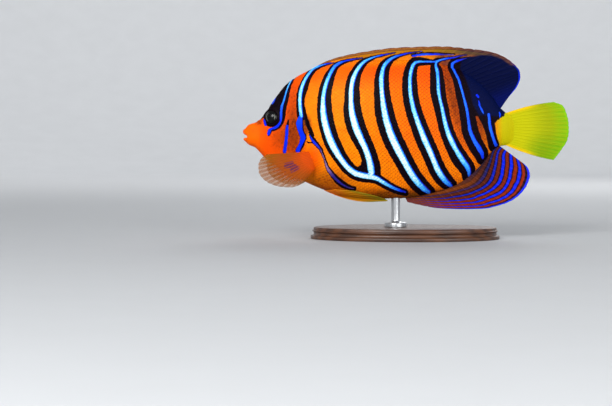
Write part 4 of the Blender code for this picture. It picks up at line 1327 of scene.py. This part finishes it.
def ray_ridges(share, out, count, spines, split_at):
    """Height from 0 to 1 of the rays over the web, and how deep the margin is notched."""
    position = share * (count - 1)
    number = np.rint(position)
    offset = position - number
    soft = number >= spines
    first = BRANCH_SPREAD * rising(out, split_at, 1.0) * soft
    second = TWIG_SPREAD * rising(out, TWIGS_AT, 1.0) * soft
    ridge = np.zeros_like(offset)
    for one in (-1, 1):
        for two in (-1, 1):
            centre = one * first + two * second
            wide = np.where(soft, 0.2 - 0.1 * out, 0.26 - 0.14 * out)
            ridge = np.maximum(ridge, bump((offset - centre) / wide))
    gap = np.abs(offset) * 2
    notch = np.where(position < spines - 0.5, SPINE_NOTCH * gap**2, RAY_NOTCH * gap**2)
    return ridge, notch


def slab(name, where, count, spines, grid, ray, web, side=1, split_at=0.42):
    """A closed fin from its rule of place, with raised rays; ray and web are thicknesses at root and tip."""
    columns, rows = grid
    share, out = np.meshgrid(np.linspace(0, 1, columns), np.linspace(0, 1, rows), indexing="ij")
    ridge, notch = ray_ridges(share, out, count, spines, split_at)
    reach = out * (1 - notch * out**2)
    points = place(*where(share, reach)) * np.array([1, side, 1])
    normals = grid_normals(points, closed=False)
    thin = web[0] + (web[1] - web[0]) * out**0.7
    stout = ray[0] + (ray[1] - ray[0]) * out**0.8
    half = (thin + (stout - thin) * ridge * rising(out, 1.02, 0.9)) / 2
    half *= 0.25 + 0.75 * rising(out, 1.0, 0.985)
    half *= 0.35 + 0.65 * np.minimum(rising(share, 0, 0.006), rising(share, 1, 0.994))
    lift = normals * (half * MM)[..., None]
    front, behind = points + lift, points - lift
    index = np.arange(columns * rows).reshape(columns, rows)
    quads = np.stack([index[:-1, :-1], index[1:, :-1], index[1:, 1:], index[:-1, 1:]], axis=-1).reshape(-1, 4)
    total = columns * rows
    border = np.concatenate([index[:, 0], index[-1, 1:], index[-2::-1, -1], index[0, -2:0:-1]])
    onward = np.roll(border, -1)
    rim = np.stack([onward, border, border + total, onward + total], axis=-1)
    faces = np.concatenate([quads, quads[:, ::-1] + total, rim])
    ob = mesh_object(name, np.concatenate([front.reshape(-1, 3), behind.reshape(-1, 3)]), faces.tolist())
    flipped = ob.data.polygons[len(quads) // 2].normal @ Vector(normals[columns // 2, rows // 2]) < 0
    if flipped:
        ob.data.flip_normals()
    tips = place(*where(share, np.ones_like(out)))
    below = np.linalg.norm(tips - place(*where(share, reach)), axis=-1) / MM
    for key, values in (("share", share), ("out", out), ("ridge", ridge), ("margin", below)):
        keep(ob, key, np.tile(values.ravel(), 2))
    mark(ob)
    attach(ob, "root")
    print(name, "faces:", len(ob.data.polygons))
    return ob


dorsal = slab(
    "dorsal_fin_skin", median_place(DORSAL_RAYS, back, -1),
    count=32, spines=14, grid=(620, 44), ray=(1.9, 0.5), web=(1.1, 0.24),
)
anal = slab(
    "anal_fin_skin", median_place(ANAL_RAYS, belly, 1),
    count=21, spines=3, grid=(480, 56), ray=(1.8, 0.5), web=(1.25, 0.3),
)
caudal = slab(
    "caudal_fin_skin", tail_place,
    count=17, spines=0, grid=(420, 64), ray=(1.9, 0.55), web=(1.4, 0.36), split_at=0.3,
)
pectorals = [
    slab(
        "pectoral_fin_skin_" + word, pectoral_place,
        count=16, spines=0, grid=(330, 52), ray=(1.2, 0.34), web=(0.6, 0.14), side=side, split_at=0.4,
    )
    for word, side in (("right", 1), ("left", -1))
]
pelvics = [
    slab(
        "pelvic_fin_skin_" + word, pelvic_place,
        count=6, spines=1, grid=(110, 60), ray=(1.3, 0.4), web=(0.8, 0.22), side=side, split_at=0.4,
    )
    for word, side in (("right", 1), ("left", -1))
]
for piece, node, slot in [
    (dorsal, "dorsal_fin", "dorsal_fin_skin"),
    (anal, "anal_fin", "anal_fin_skin"),
    (caudal, "caudal_fin", "tail_fin_skin"),
    (pectorals[0], "pectoral_fin_right", "pectoral_fin_skin"),
    (pectorals[1], "pectoral_fin_left", "pectoral_fin_skin"),
    (pelvics[0], "pelvic_fin_right", "pelvic_fin_skin"),
    (pelvics[1], "pelvic_fin_left", "pelvic_fin_skin"),
]:
    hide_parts(node)

# %% [markdown]
# The fins' colours. The dorsal fin is red-brown with an olive band below its margin, and the bars of the body
# run up into it; behind, it is deep blue. On the anal fin, blue and brick red lines follow the margin. The
# tail fin is yellow, going to lime at its rim. The paired fins are a clear orange, and the pectoral fins grow
# clearer towards their tips, with violet marks between their rays.


# %% Fin materials
RAY_JOINTS = 14.0
ANAL_LINES, ANAL_LINE_SHIFT = 6.5, 0.08


def fin_grain():
    """Cross joints of the soft rays and a fine grain, as one height."""
    along_ray = Wire.node("ShaderNodeCombineXYZ", {}, {"X": read("out")})
    joints = Wire.node(
        "ShaderNodeTexWave", {"wave_type": "BANDS", "bands_direction": "X"},
        {"Vector": along_ray, "Scale": RAY_JOINTS, "Distortion": 0.0},
    )
    return joints * read("ridge") * 0.5 + noise(1800.0, 2.0) * 0.5


def band(value, low, high, soft=0.25):
    """1 between two distances, with soft ends."""
    return step(value, low - soft, low + soft) * (1.0 - step(value, high - soft, high + soft))


def dorsal_paint():
    material = start_material("dorsal_fin_paint")
    below = read("margin") + (noise(260.0, 2.0) - 0.5) * 0.9
    ground = ground_colour()
    share = read("share")
    rear = step(share, 0.24, 0.44)
    olive = mix(rear, rgb(160, 104, 6), rgb(106, 88, 12))
    colour = mix(step(below, 9.0, 5.0) * step(share, 0.02, 0.24) * 0.9, ground, olive)
    colour = mix(step(below, 3.2, 2.6), colour, mix(rear, rgb(142, 86, 36), rgb(112, 62, 30)))
    streak = step(noise(300.0, 2.0, 0.5), 0.5, 0.66) * band(below, 0.5, 2.6, 0.3)
    colour = mix(streak * 0.35, colour, rgb(92, 24, 16))
    colour = mix(band(below, 2.55, 3.1, 0.16) * 0.75, colour, rgb(48, 18, 22))
    colour = mix(step(share, 0.34, 0.45) * 0.7, colour, rgb(40, 28, 46))
    colour = mix(step(below, 0.75, 0.4), colour, rgb(88, 18, 14))
    # Painted highlight: the raised rays are a little lighter.
    colour = mix(read("ridge") * 0.08, colour, rgb(200, 140, 80))
    colour = banded(colour)
    navy = step(read("navy"), -0.5, 0.9)
    # Deep blue, brighter towards the rear, with a painted highlight along the raised rays.
    navy_and_ray_highlight = mix(step(share, 0.7, 0.96) * 0.7 + read("ridge") * 0.1, rgb(0, 6, 46), rgb(1, 14, 92))
    colour = mix(navy, colour, navy_and_ray_highlight)
    colour = mix(band(below, 0.2, 1.2, 0.15) * step(share, 0.56, 0.76), colour, rgb(4, 40, 216))
    surface(colour, 0.5, fin_grain(), 0.00006, Specular_IOR_Level=0.04)
    return material


def anal_paint():
    material = start_material("anal_fin_paint")
    share = read("share")
    out = read("out") ** (1.2 - step(share, 0.45, 0.95) * 0.62)
    out = out + (noise(58.0, 2.0) - 0.5) * 0.11 * step(out, 0.97, 0.85)
    red = mix(step(out, 0.2, 0.95), rgb(76, 26, 14), rgb(144, 38, 2))
    blue = mix(step(out, 0.15, 0.6), rgb(16, 26, 70), rgb(2, 34, 222))
    dark = rgb(14, 3, 14)
    wave = out * ANAL_LINES + ANAL_LINE_SHIFT
    phase = Wire.node("ShaderNodeMath", {"operation": "FRACT"}, {0: wave})
    narrow = step(share, 0.55, 0.2) * 0.07
    line = band(phase, 0.22 + narrow, 0.84 - narrow, 0.05)
    colour = mix(line, red, dark)
    colour = mix(band(phase, 0.38 + narrow, 0.7 - narrow, 0.05), colour, blue)
    colour = mix(band(out, 0.925, 0.965, 0.008), colour, rgb(20, 6, 24))
    colour = mix(step(out, 0.958, 0.97), colour, rgb(12, 44, 240))
    brown = mix(line * 0.6, rgb(120, 56, 8), rgb(50, 22, 20))
    front = step(share, 0.3, 0.06) * 0.85
    root = step(out, 0.34, 0.06) * step(share, 0.75, 0.4)
    colour = mix(maximum(front, root), colour, brown)
    colour = mix(step(out, 0.26, 0.06) * step(share, 0.4, 0.7) * 0.7, colour, rgb(46, 26, 30))
    # Painted highlight: the raised rays are a little lighter.
    colour = mix(read("ridge") * 0.03, colour, rgb(230, 140, 120))
    surface(colour, 0.5, fin_grain(), 0.00006, Specular_IOR_Level=0.05)
    return material


def tail_paint():
    material = start_material("tail_fin_paint")
    out = read("out") + (noise(110.0, 2.0) - 0.5) * 0.06
    share = read("share")
    margins = maximum(step(share, 0.12, 0.02), step(share, 0.88, 0.98)) * step(out, 0.75, 0.4)
    colour = mix(step(out, 0.02, 0.2), rgb(188, 164, 0), rgb(182, 180, 0))
    colour = mix(step(out, 0.3, 0.75), colour, rgb(148, 158, 0))
    colour = mix(step(out, 0.7, 0.95), colour, rgb(122, 168, 2))
    colour = mix(step(share, 0.45, 0.8) * step(out, 0.3, 0.7) * 0.6, colour, rgb(92, 146, 0))
    colour = mix(margins, colour, rgb(226, 186, 0))
    colour = mix(step(out, 0.955, 0.99) * 0.7, colour, rgb(112, 190, 4))
    # Painted highlight: the raised rays are a little lighter.
    colour = mix(read("ridge") * 0.16, colour, rgb(214, 206, 20))
    surface(colour, 0.5, fin_grain(), 0.00006, Specular_IOR_Level=0.08)
    return material


def paired_paint(name, root, web, tip, ray, clear, violet):
    """The paint of a clear fin: fleshy at the root, thin at the web, with violet between its rays."""
    material = start_material(name)
    out, ridge, share = read("out"), read("ridge"), read("share")
    colour = mix(step(out, 0.15, 0.55), root, web)
    colour = mix(step(out, 0.6, 0.98), colour, tip)
    reach = noise(300.0, 1.0) * 0.36 + out
    between = band(reach, 0.52, 0.72, 0.02) * band(share, 0.3, 0.58, 0.02) * step(ridge, 0.16, 0.0)
    colour = mix(between * violet, colour, rgb(48, 18, 84))
    colour = mix(ridge * 0.5, colour, ray)
    fade = step(out - step(share, 0.4, 0.1) * 0.2, 0.5, 0.85) * violet
    thin = clear - fade * 0.7
    solid = maximum(step(out, 0.45, 0.2), thin + ridge * (1.0 - thin) * (0.8 - fade * 0.45))
    surface(colour, 0.45, fin_grain(), 0.00005, Specular_IOR_Level=0.12, Alpha=solid)
    return material


dorsal.data.materials.append(dorsal_paint())
anal.data.materials.append(anal_paint())
caudal.data.materials.append(tail_paint())
clear_orange = paired_paint(
    "pectoral_fin_paint", rgb(210, 76, 2), rgb(160, 72, 2), rgb(146, 94, 12), rgb(168, 78, 4), 0.88, 0.75
)
orange_yellow = paired_paint(
    "pelvic_fin_paint", rgb(206, 92, 4), rgb(196, 122, 6), rgb(120, 124, 24), rgb(214, 140, 20), 0.92, 0.0
)
for piece in pectorals:
    piece.data.materials.append(clear_orange)
for piece in pelvics:
    piece.data.materials.append(orange_yellow)
painted = (dorsal, anal, caudal, pectorals[0], pelvics[0])
print("fin materials:", [piece.data.materials[0].name for piece in painted])

# %% [markdown]
# Eyes. The eyeball is a flattened ball that stands a millimetre and a half out of its socket, with its axis
# square to the head. The black iris has a thin silver ring round the pupil; behind the pupil the ring is
# brighter, as a painted highlight.

# %% Eyes
EYE_RADIUS, EYE_HALF_DEPTH, EYE_BULGE = 5.0, 3.3, 1.5
EYE_RINGS, EYE_SPOKES = 64, 96
GAZE_OF_BACK = 9.0


def flank_normal(along, up):
    """The outward direction of the flank on the +Y side."""
    half = 0.5
    ahead = float(flank(along + half, up) - flank(along - half, up)) / (2 * half)
    above = float(flank(along, up + half) - flank(along, up - half)) / (2 * half)
    return Vector((-ahead, 1, -above)).normalized()


def eye(name, side):
    outward = flank_normal(*EYE_AT)
    socket = Vector(place(EYE_AT[0], float(flank(*EYE_AT)), EYE_AT[1]))
    centre = socket - outward * (EYE_HALF_DEPTH - EYE_BULGE) * MM
    bm = bmesh.new()
    bmesh.ops.create_uvsphere(bm, u_segments=EYE_SPOKES, v_segments=EYE_RINGS, radius=1)
    gaze = [vert.co.xy.length * EYE_RADIUS if vert.co.z > 0 else GAZE_OF_BACK for vert in bm.verts]
    size = Matrix.Diagonal((EYE_RADIUS * MM, EYE_RADIUS * MM, EYE_HALF_DEPTH * MM, 1))
    turn = Vector((0, 0, 1)).rotation_difference(outward).to_matrix().to_4x4()
    bm.transform(Matrix.Translation(centre) @ turn @ size)
    if side < 0:
        bm.transform(Matrix.Diagonal((1, -1, 1, 1)))
        bmesh.ops.reverse_faces(bm, faces=bm.faces)
    mesh = bpy.data.meshes.new(name)
    bm.to_mesh(mesh)
    bm.free()
    mesh.shade_smooth()
    ob = bpy.data.objects.new(name, mesh)
    bpy.context.scene.collection.objects.link(ob)
    keep(ob, "gaze", gaze)
    keep(ob, "behind", coordinates(ob)[:, 0] / MM - centre.x / MM)
    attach(ob, "root")
    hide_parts("eye_" + ("right" if side > 0 else "left"))
    return ob


def eye_paint():
    material = start_material("wet_eye")
    gaze, behind = read("gaze"), read("behind")
    # Partly the pupil's pale ring and partly a painted highlight: bright behind the pupil, faint in front.
    pupil_ring_and_highlight = band(gaze, 2.7, 3.35, 0.16) * (step(behind, 1.4, 2.9) * 0.85 + step(behind, -2.0, -3.0) * 0.16)
    iris = mix(step(gaze, 3.2, 4.6), rgb(2, 2, 3), rgb(9, 6, 6))
    colour = mix(pupil_ring_and_highlight, iris, rgb(196, 200, 186))
    surface(colour, 0.24 + pupil_ring_and_highlight * 0.2, Specular_IOR_Level=0.1, Coat_Weight=0.22, Coat_Roughness=0.03)
    return material


wet_eye = eye_paint()
for name, side in (("eye_ball_right", 1), ("eye_ball_left", -1)):
    eye(name, side).data.materials.append(wet_eye)
print("eyes:", EYE_RADIUS * 2, "mm across, material", wet_eye.name)

# %% [markdown]
# The cheek spine, the badge of all angelfishes: a strong bony spine at the lower corner of the cheek plate
# that points back over the gill cover. It is a tapering tube along a gentle curve.

# %% Cheek spines
CHEEK_SPINE = ((27.4, -19.3, -0.4), (32.0, -21.0, 0.9), (36.8, -21.6, 1.0))
CHEEK_SPINE_RADII = (1.05, 0.8, 0.12)
SPINE_RINGS, SPINE_SIDES = 40, 20


def tapered_tube(name, points, radii):
    """A closed tube through points, round and tapering, with a point at each end."""
    shares = np.linspace(0, 1, SPINE_RINGS)
    line = path([(*point, radius) for point, radius in zip(points, radii)])(shares)
    centres, thick = line[:, :3], line[:, 3:]
    ahead = np.gradient(centres, axis=0)
    ahead /= np.linalg.norm(ahead, axis=1, keepdims=True)
    aside = np.cross(ahead, [0.0, 1.0, 0.0])
    aside /= np.linalg.norm(aside, axis=1, keepdims=True)
    over = np.cross(aside, ahead)
    angle = np.arange(SPINE_SIDES) * 2 * np.pi / SPINE_SIDES
    circle = np.cos(angle)[None, :, None] * aside[:, None] + np.sin(angle)[None, :, None] * over[:, None]
    rings = centres[:, None] + circle * thick[:, None]
    return tube_object(name, rings, centres[0], centres[-1])


def cheek_spine(side):
    points = [place(along, (float(flank(along, up)) + lift) * side, up) for along, up, lift in CHEEK_SPINE]
    radii = [radius * MM for radius in CHEEK_SPINE_RADII]
    return tapered_tube("cheek_spine_" + ("right" if side > 0 else "left"), points, radii)


def bone_paint():
    material = start_material("cheek_spine_bone")
    point = noise(600.0, 2.0)
    colour = mix(point * 0.4, rgb(255, 150, 40), rgb(236, 190, 130))
    surface(colour, 0.35, noise(2200.0, 2.0), 0.00003, Coat_Weight=0.2, Coat_Roughness=0.2)
    return material


bone = bone_paint()
for side in (1, -1):
    spine = cheek_spine(side)
    spine.data.materials.append(bone)
    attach(spine, "root")
print("cheek spines: 2")

# %% [markdown]
# The stand. The base is a turned oval of dark oiled wood: one profile of a foot, a hollow moulding, a bead
# and a flat top, swept round an ellipse. The rod and its collar are brushed steel, turned from a second
# profile.

# %% The base
base_low, base_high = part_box("stand_base")
BASE_HALF_LENGTH, BASE_HALF_WIDTH = (base_high.x - base_low.x) / 2 / MM, (base_high.y - base_low.y) / 2 / MM
BASE_HEIGHT = base_high.z / MM
BASE_PROFILE = [
    (1.6, 0.0), (0.5, 0.0), (0.15, 0.12), (0.0, 0.5), (0.0, 1.9), (0.12, 2.2), (0.45, 2.4), (1.2, 2.55),
    (1.75, 2.9), (2.05, 3.5), (2.1, 4.1), (1.9, 4.7), (1.5, 5.1), (1.15, 5.3), (1.05, 5.5), (1.1, 5.75),
    (1.35, 5.95), (1.75, 6.05), (1.95, 6.2), (2.0, 6.6), (2.05, 7.2), (2.25, 7.65), (2.6, 7.9), (3.1, 8.0),
    (8.0, 8.0), (20.0, 8.0), (34.0, 8.0),
]
BASE_SIDES = 320


def oval_base():
    angle = np.arange(BASE_SIDES) * 2 * np.pi / BASE_SIDES
    profile_top = BASE_PROFILE[-1][1]
    rings = []
    for inset, height in BASE_PROFILE:
        x, y = (BASE_HALF_LENGTH - inset) * np.cos(angle), (BASE_HALF_WIDTH - inset) * np.sin(angle)
        rings.append(np.stack([x, y, np.full(BASE_SIDES, height * BASE_HEIGHT / profile_top)], axis=-1))
    points = np.array(rings) * MM
    ob = tube_object("stand_base_wood", points, (0, 0, 0), (0, 0, BASE_HEIGHT * MM))
    ob.data.set_sharp_from_angle(angle=np.radians(40))
    return ob


def oiled_wood():
    material = start_material("oiled_wood")
    place_on = Wire.node("ShaderNodeTexCoord", out="Object")
    long = Wire.node("ShaderNodeMapping", {}, {"Vector": place_on, "Scale": (0.12, 1.0, 1.0)})
    rings = Wire.node(
        "ShaderNodeTexWave", {"wave_type": "BANDS", "bands_direction": "Y"},
        {"Vector": long, "Scale": 42.0, "Distortion": 9.0, "Detail": 3.0, "Detail Scale": 1.4},
    )
    fine = noise(1300.0, 4.0, 0.6, long)
    pores = step(noise(5200.0, 1.0, 0.5, long), 0.62, 0.72)
    colour = mix(rings * 0.7 + fine * 0.3, rgb(52, 28, 15), rgb(98, 58, 32))
    colour = mix(pores * 0.6, colour, rgb(22, 11, 6))
    rough, height = 0.34 + fine * 0.2, fine * 0.4 - pores * 0.6
    surface(colour, rough, height, 0.00008, Coat_Weight=0.25, Coat_Roughness=0.25)
    return material


base = oval_base()
base.data.materials.append(oiled_wood())
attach(base, "root")
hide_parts("stand_base")
print("base:", round(BASE_HALF_LENGTH * 2, 1), "by", round(BASE_HALF_WIDTH * 2, 1), "mm")

# %% [markdown]
# The rod stands on the base and ends in the belly. The real thing is a bar pushed into a socket inside the
# model, so here it simply runs a little way into the skin.

# %% The rod
rod_low, rod_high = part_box("stand_rod")
ROD_X = (rod_low.x + rod_high.x) / 2
ROD_RADIUS, COLLAR_RADIUS, COLLAR_HEIGHT = 3.0, 7.5, 3.0
ROD_SIDES = 96
ROD_MIDDLE, ROD_TOP = 24.0, 36.0


def turned_rod():
    foot = rod_low.z / MM
    top = foot + COLLAR_HEIGHT
    profile = [
        (COLLAR_RADIUS - 0.3, foot - 0.25), (COLLAR_RADIUS, foot), (COLLAR_RADIUS, top - 0.9),
        (COLLAR_RADIUS - 0.12, top - 0.45), (COLLAR_RADIUS - 0.45, top - 0.12), (COLLAR_RADIUS - 0.9, top),
        (ROD_RADIUS + 1.5, top), (ROD_RADIUS + 0.9, top + 0.12), (ROD_RADIUS + 0.4, top + 0.5),
        (ROD_RADIUS + 0.1, top + 1.0), (ROD_RADIUS, top + 1.6), (ROD_RADIUS, ROD_MIDDLE),
        (ROD_RADIUS, ROD_TOP),
    ]
    angle = np.arange(ROD_SIDES) * 2 * np.pi / ROD_SIDES
    rings = [
        np.stack([ROD_X / MM + r * np.cos(angle), r * np.sin(angle), np.full(ROD_SIDES, z)], axis=-1)
        for r, z in profile
    ]
    ends = [(ROD_X, 0, profile[0][1] * MM), (ROD_X, 0, ROD_TOP * MM)]
    ob = tube_object("stand_rod_steel", np.array(rings) * MM, *ends)
    ob.data.set_sharp_from_angle(angle=np.radians(40))
    return ob


def brushed_steel():
    material = start_material("brushed_steel")
    place_on = Wire.node("ShaderNodeTexCoord", out="Object")
    drawn = Wire.node("ShaderNodeMapping", {}, {"Vector": place_on, "Scale": (1.0, 1.0, 14.0)})
    lines = noise(900.0, 3.0, 0.6, drawn)
    steel = mix(lines, rgb(176, 178, 180), rgb(206, 208, 210))
    surface(steel, 0.24 + lines * 0.16, lines, 0.00002, Metallic=1.0)
    return material


rod = turned_rod()
rod.data.materials.append(brushed_steel())
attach(rod, "root")
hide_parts("stand_rod")
print("rod at x", round(ROD_X, 4), "from", round(rod_low.z, 4), "m")

# %% [markdown]
# The studio: a pale shallow bowl as the floor, which curves up all round so that no view has a horizon, soft
# lights from above, and a camera as far away as the photographer may have been, turned so that the fish keeps
# its place.

# %% Floor, lights and camera
FLOOR_RADIUS, FLOOR_RISE, WALL_TOP = 1.6, 0.9, 2.6
FLOOR_SIDES = 160


def bowl():
    """A floor that is flat in the middle and curves up to a wall."""
    curve_angles = np.linspace(0, np.pi / 2, 40)
    profile = [(0.3, 0.0), (0.9, 0.0)]
    profile += [(FLOOR_RADIUS + FLOOR_RISE * np.sin(a), FLOOR_RISE * (1 - np.cos(a))) for a in curve_angles]
    profile.append((FLOOR_RADIUS + FLOOR_RISE, WALL_TOP))
    angle = np.arange(FLOOR_SIDES) * 2 * np.pi / FLOOR_SIDES
    rings = [
        np.stack([r * np.cos(angle), r * np.sin(angle), np.full(FLOOR_SIDES, z)], axis=-1)
        for r, z in profile
    ]
    index = np.arange(len(rings) * FLOOR_SIDES).reshape(len(rings), FLOOR_SIDES)
    after = np.roll(index, -1, axis=1)
    quads = np.stack([index[:-1], index[1:], after[1:], after[:-1]], axis=-1).reshape(-1, 4)
    centre = len(rings) * FLOOR_SIDES
    fan = [(centre, a, b) for a, b in zip(index[0], after[0])]
    points = np.concatenate([*rings, [(0, 0, 0)]])
    return mesh_object("studio_floor", points, quads.tolist() + fan)


def floor_paint():
    material = start_material("studio_pale")
    spot = Wire.node("ShaderNodeTexCoord", out="Object")
    away = Wire.node("ShaderNodeVectorMath", {"operation": "LENGTH"}, {0: spot}, out="Value")
    # Painted shade: the floor is darker towards the middle, where the lamps light it most, to even out its
    # brightness.
    paper_with_painted_shade = mix(step(away, 0.5, 1.8), rgb(176, 178, 180), rgb(240, 241, 242))
    surface(mix(noise(30.0, 3.0) * 0.1, paper_with_painted_shade, rgb(150, 150, 150)), 0.85)
    return material


floor = bowl()
floor.data.materials.append(floor_paint())


def area_light(name, at, towards, size, power):
    data = bpy.data.lights.new(name, "AREA")
    data.shape = "DISK"
    data.size = size
    data.energy = power
    ob = bpy.data.objects.new(name, data)
    ob.location = at
    ob.rotation_euler = (Vector(towards) - Vector(at)).to_track_quat("-Z", "Y").to_euler()
    bpy.context.scene.collection.objects.link(ob)


middle = (0.0, 0.0, 0.07)
area_light("key", (-0.45, -1.25, 0.75), middle, 0.7, 18.0)
area_light("fill", (0.8, -1.1, 0.35), middle, 0.9, 7.0)
area_light("back", (0.3, 1.0, 0.8), middle, 0.8, 5.0)
area_light("wall", (-0.1, 0.9, 1.5), (-0.1, 2.6, 0.35), 0.8, 4.5)
world = bpy.data.worlds.new("studio_world")
world.use_nodes = True
world.node_tree.nodes["Background"].inputs["Color"].default_value = rgb(236, 240, 246)
world.node_tree.nodes["Background"].inputs["Strength"].default_value = 0.5
bpy.context.scene.world = world
bpy.context.scene.view_settings.view_transform = "Standard"

PICTURE_WIDTH, PICTURE_HEIGHT = 612, 406
MM_PER_PIXEL = 0.679
MIDDLE_PIXEL = (405.0, 128.0)
CAMERA_DISTANCE, SENSOR_WIDTH = 1.18, 36.0
camera_data = bpy.data.cameras.new("camera")
camera_data.sensor_width = SENSOR_WIDTH
camera_data.lens = SENSOR_WIDTH * CAMERA_DISTANCE / (PICTURE_WIDTH * MM_PER_PIXEL * MM)
camera_data.clip_start = 0.01
camera = bpy.data.objects.new("camera", camera_data)
camera.location = (0, -CAMERA_DISTANCE, AXIS_HEIGHT * MM)
shown_x = (PICTURE_WIDTH / 2 - MIDDLE_PIXEL[0]) * MM_PER_PIXEL * MM
shown_z = AXIS_HEIGHT * MM - (PICTURE_HEIGHT / 2 - MIDDLE_PIXEL[1]) * MM_PER_PIXEL * MM
aim = Vector((shown_x, 0, shown_z)) - camera.location
camera.rotation_euler = aim.to_track_quat("-Z", "Y").to_euler()
bpy.context.scene.collection.objects.link(camera)
bpy.context.scene.camera = camera
print("lens:", round(camera_data.lens, 1), "mm, aimed at x", round(shown_x, 4), "z", round(shown_z, 4))

# %% [markdown]
# Last, the triangles of every shown piece but the floor are counted.

# %% Triangles and the end
bpy.context.view_layer.update()
triangles = sum(
    len(polygon.vertices) - 2
    for ob in bpy.context.scene.objects
    if ob.type == "MESH" and not ob.hide_render and ob is not floor
    for polygon in ob.data.polygons
)
print("triangles shown:", triangles)
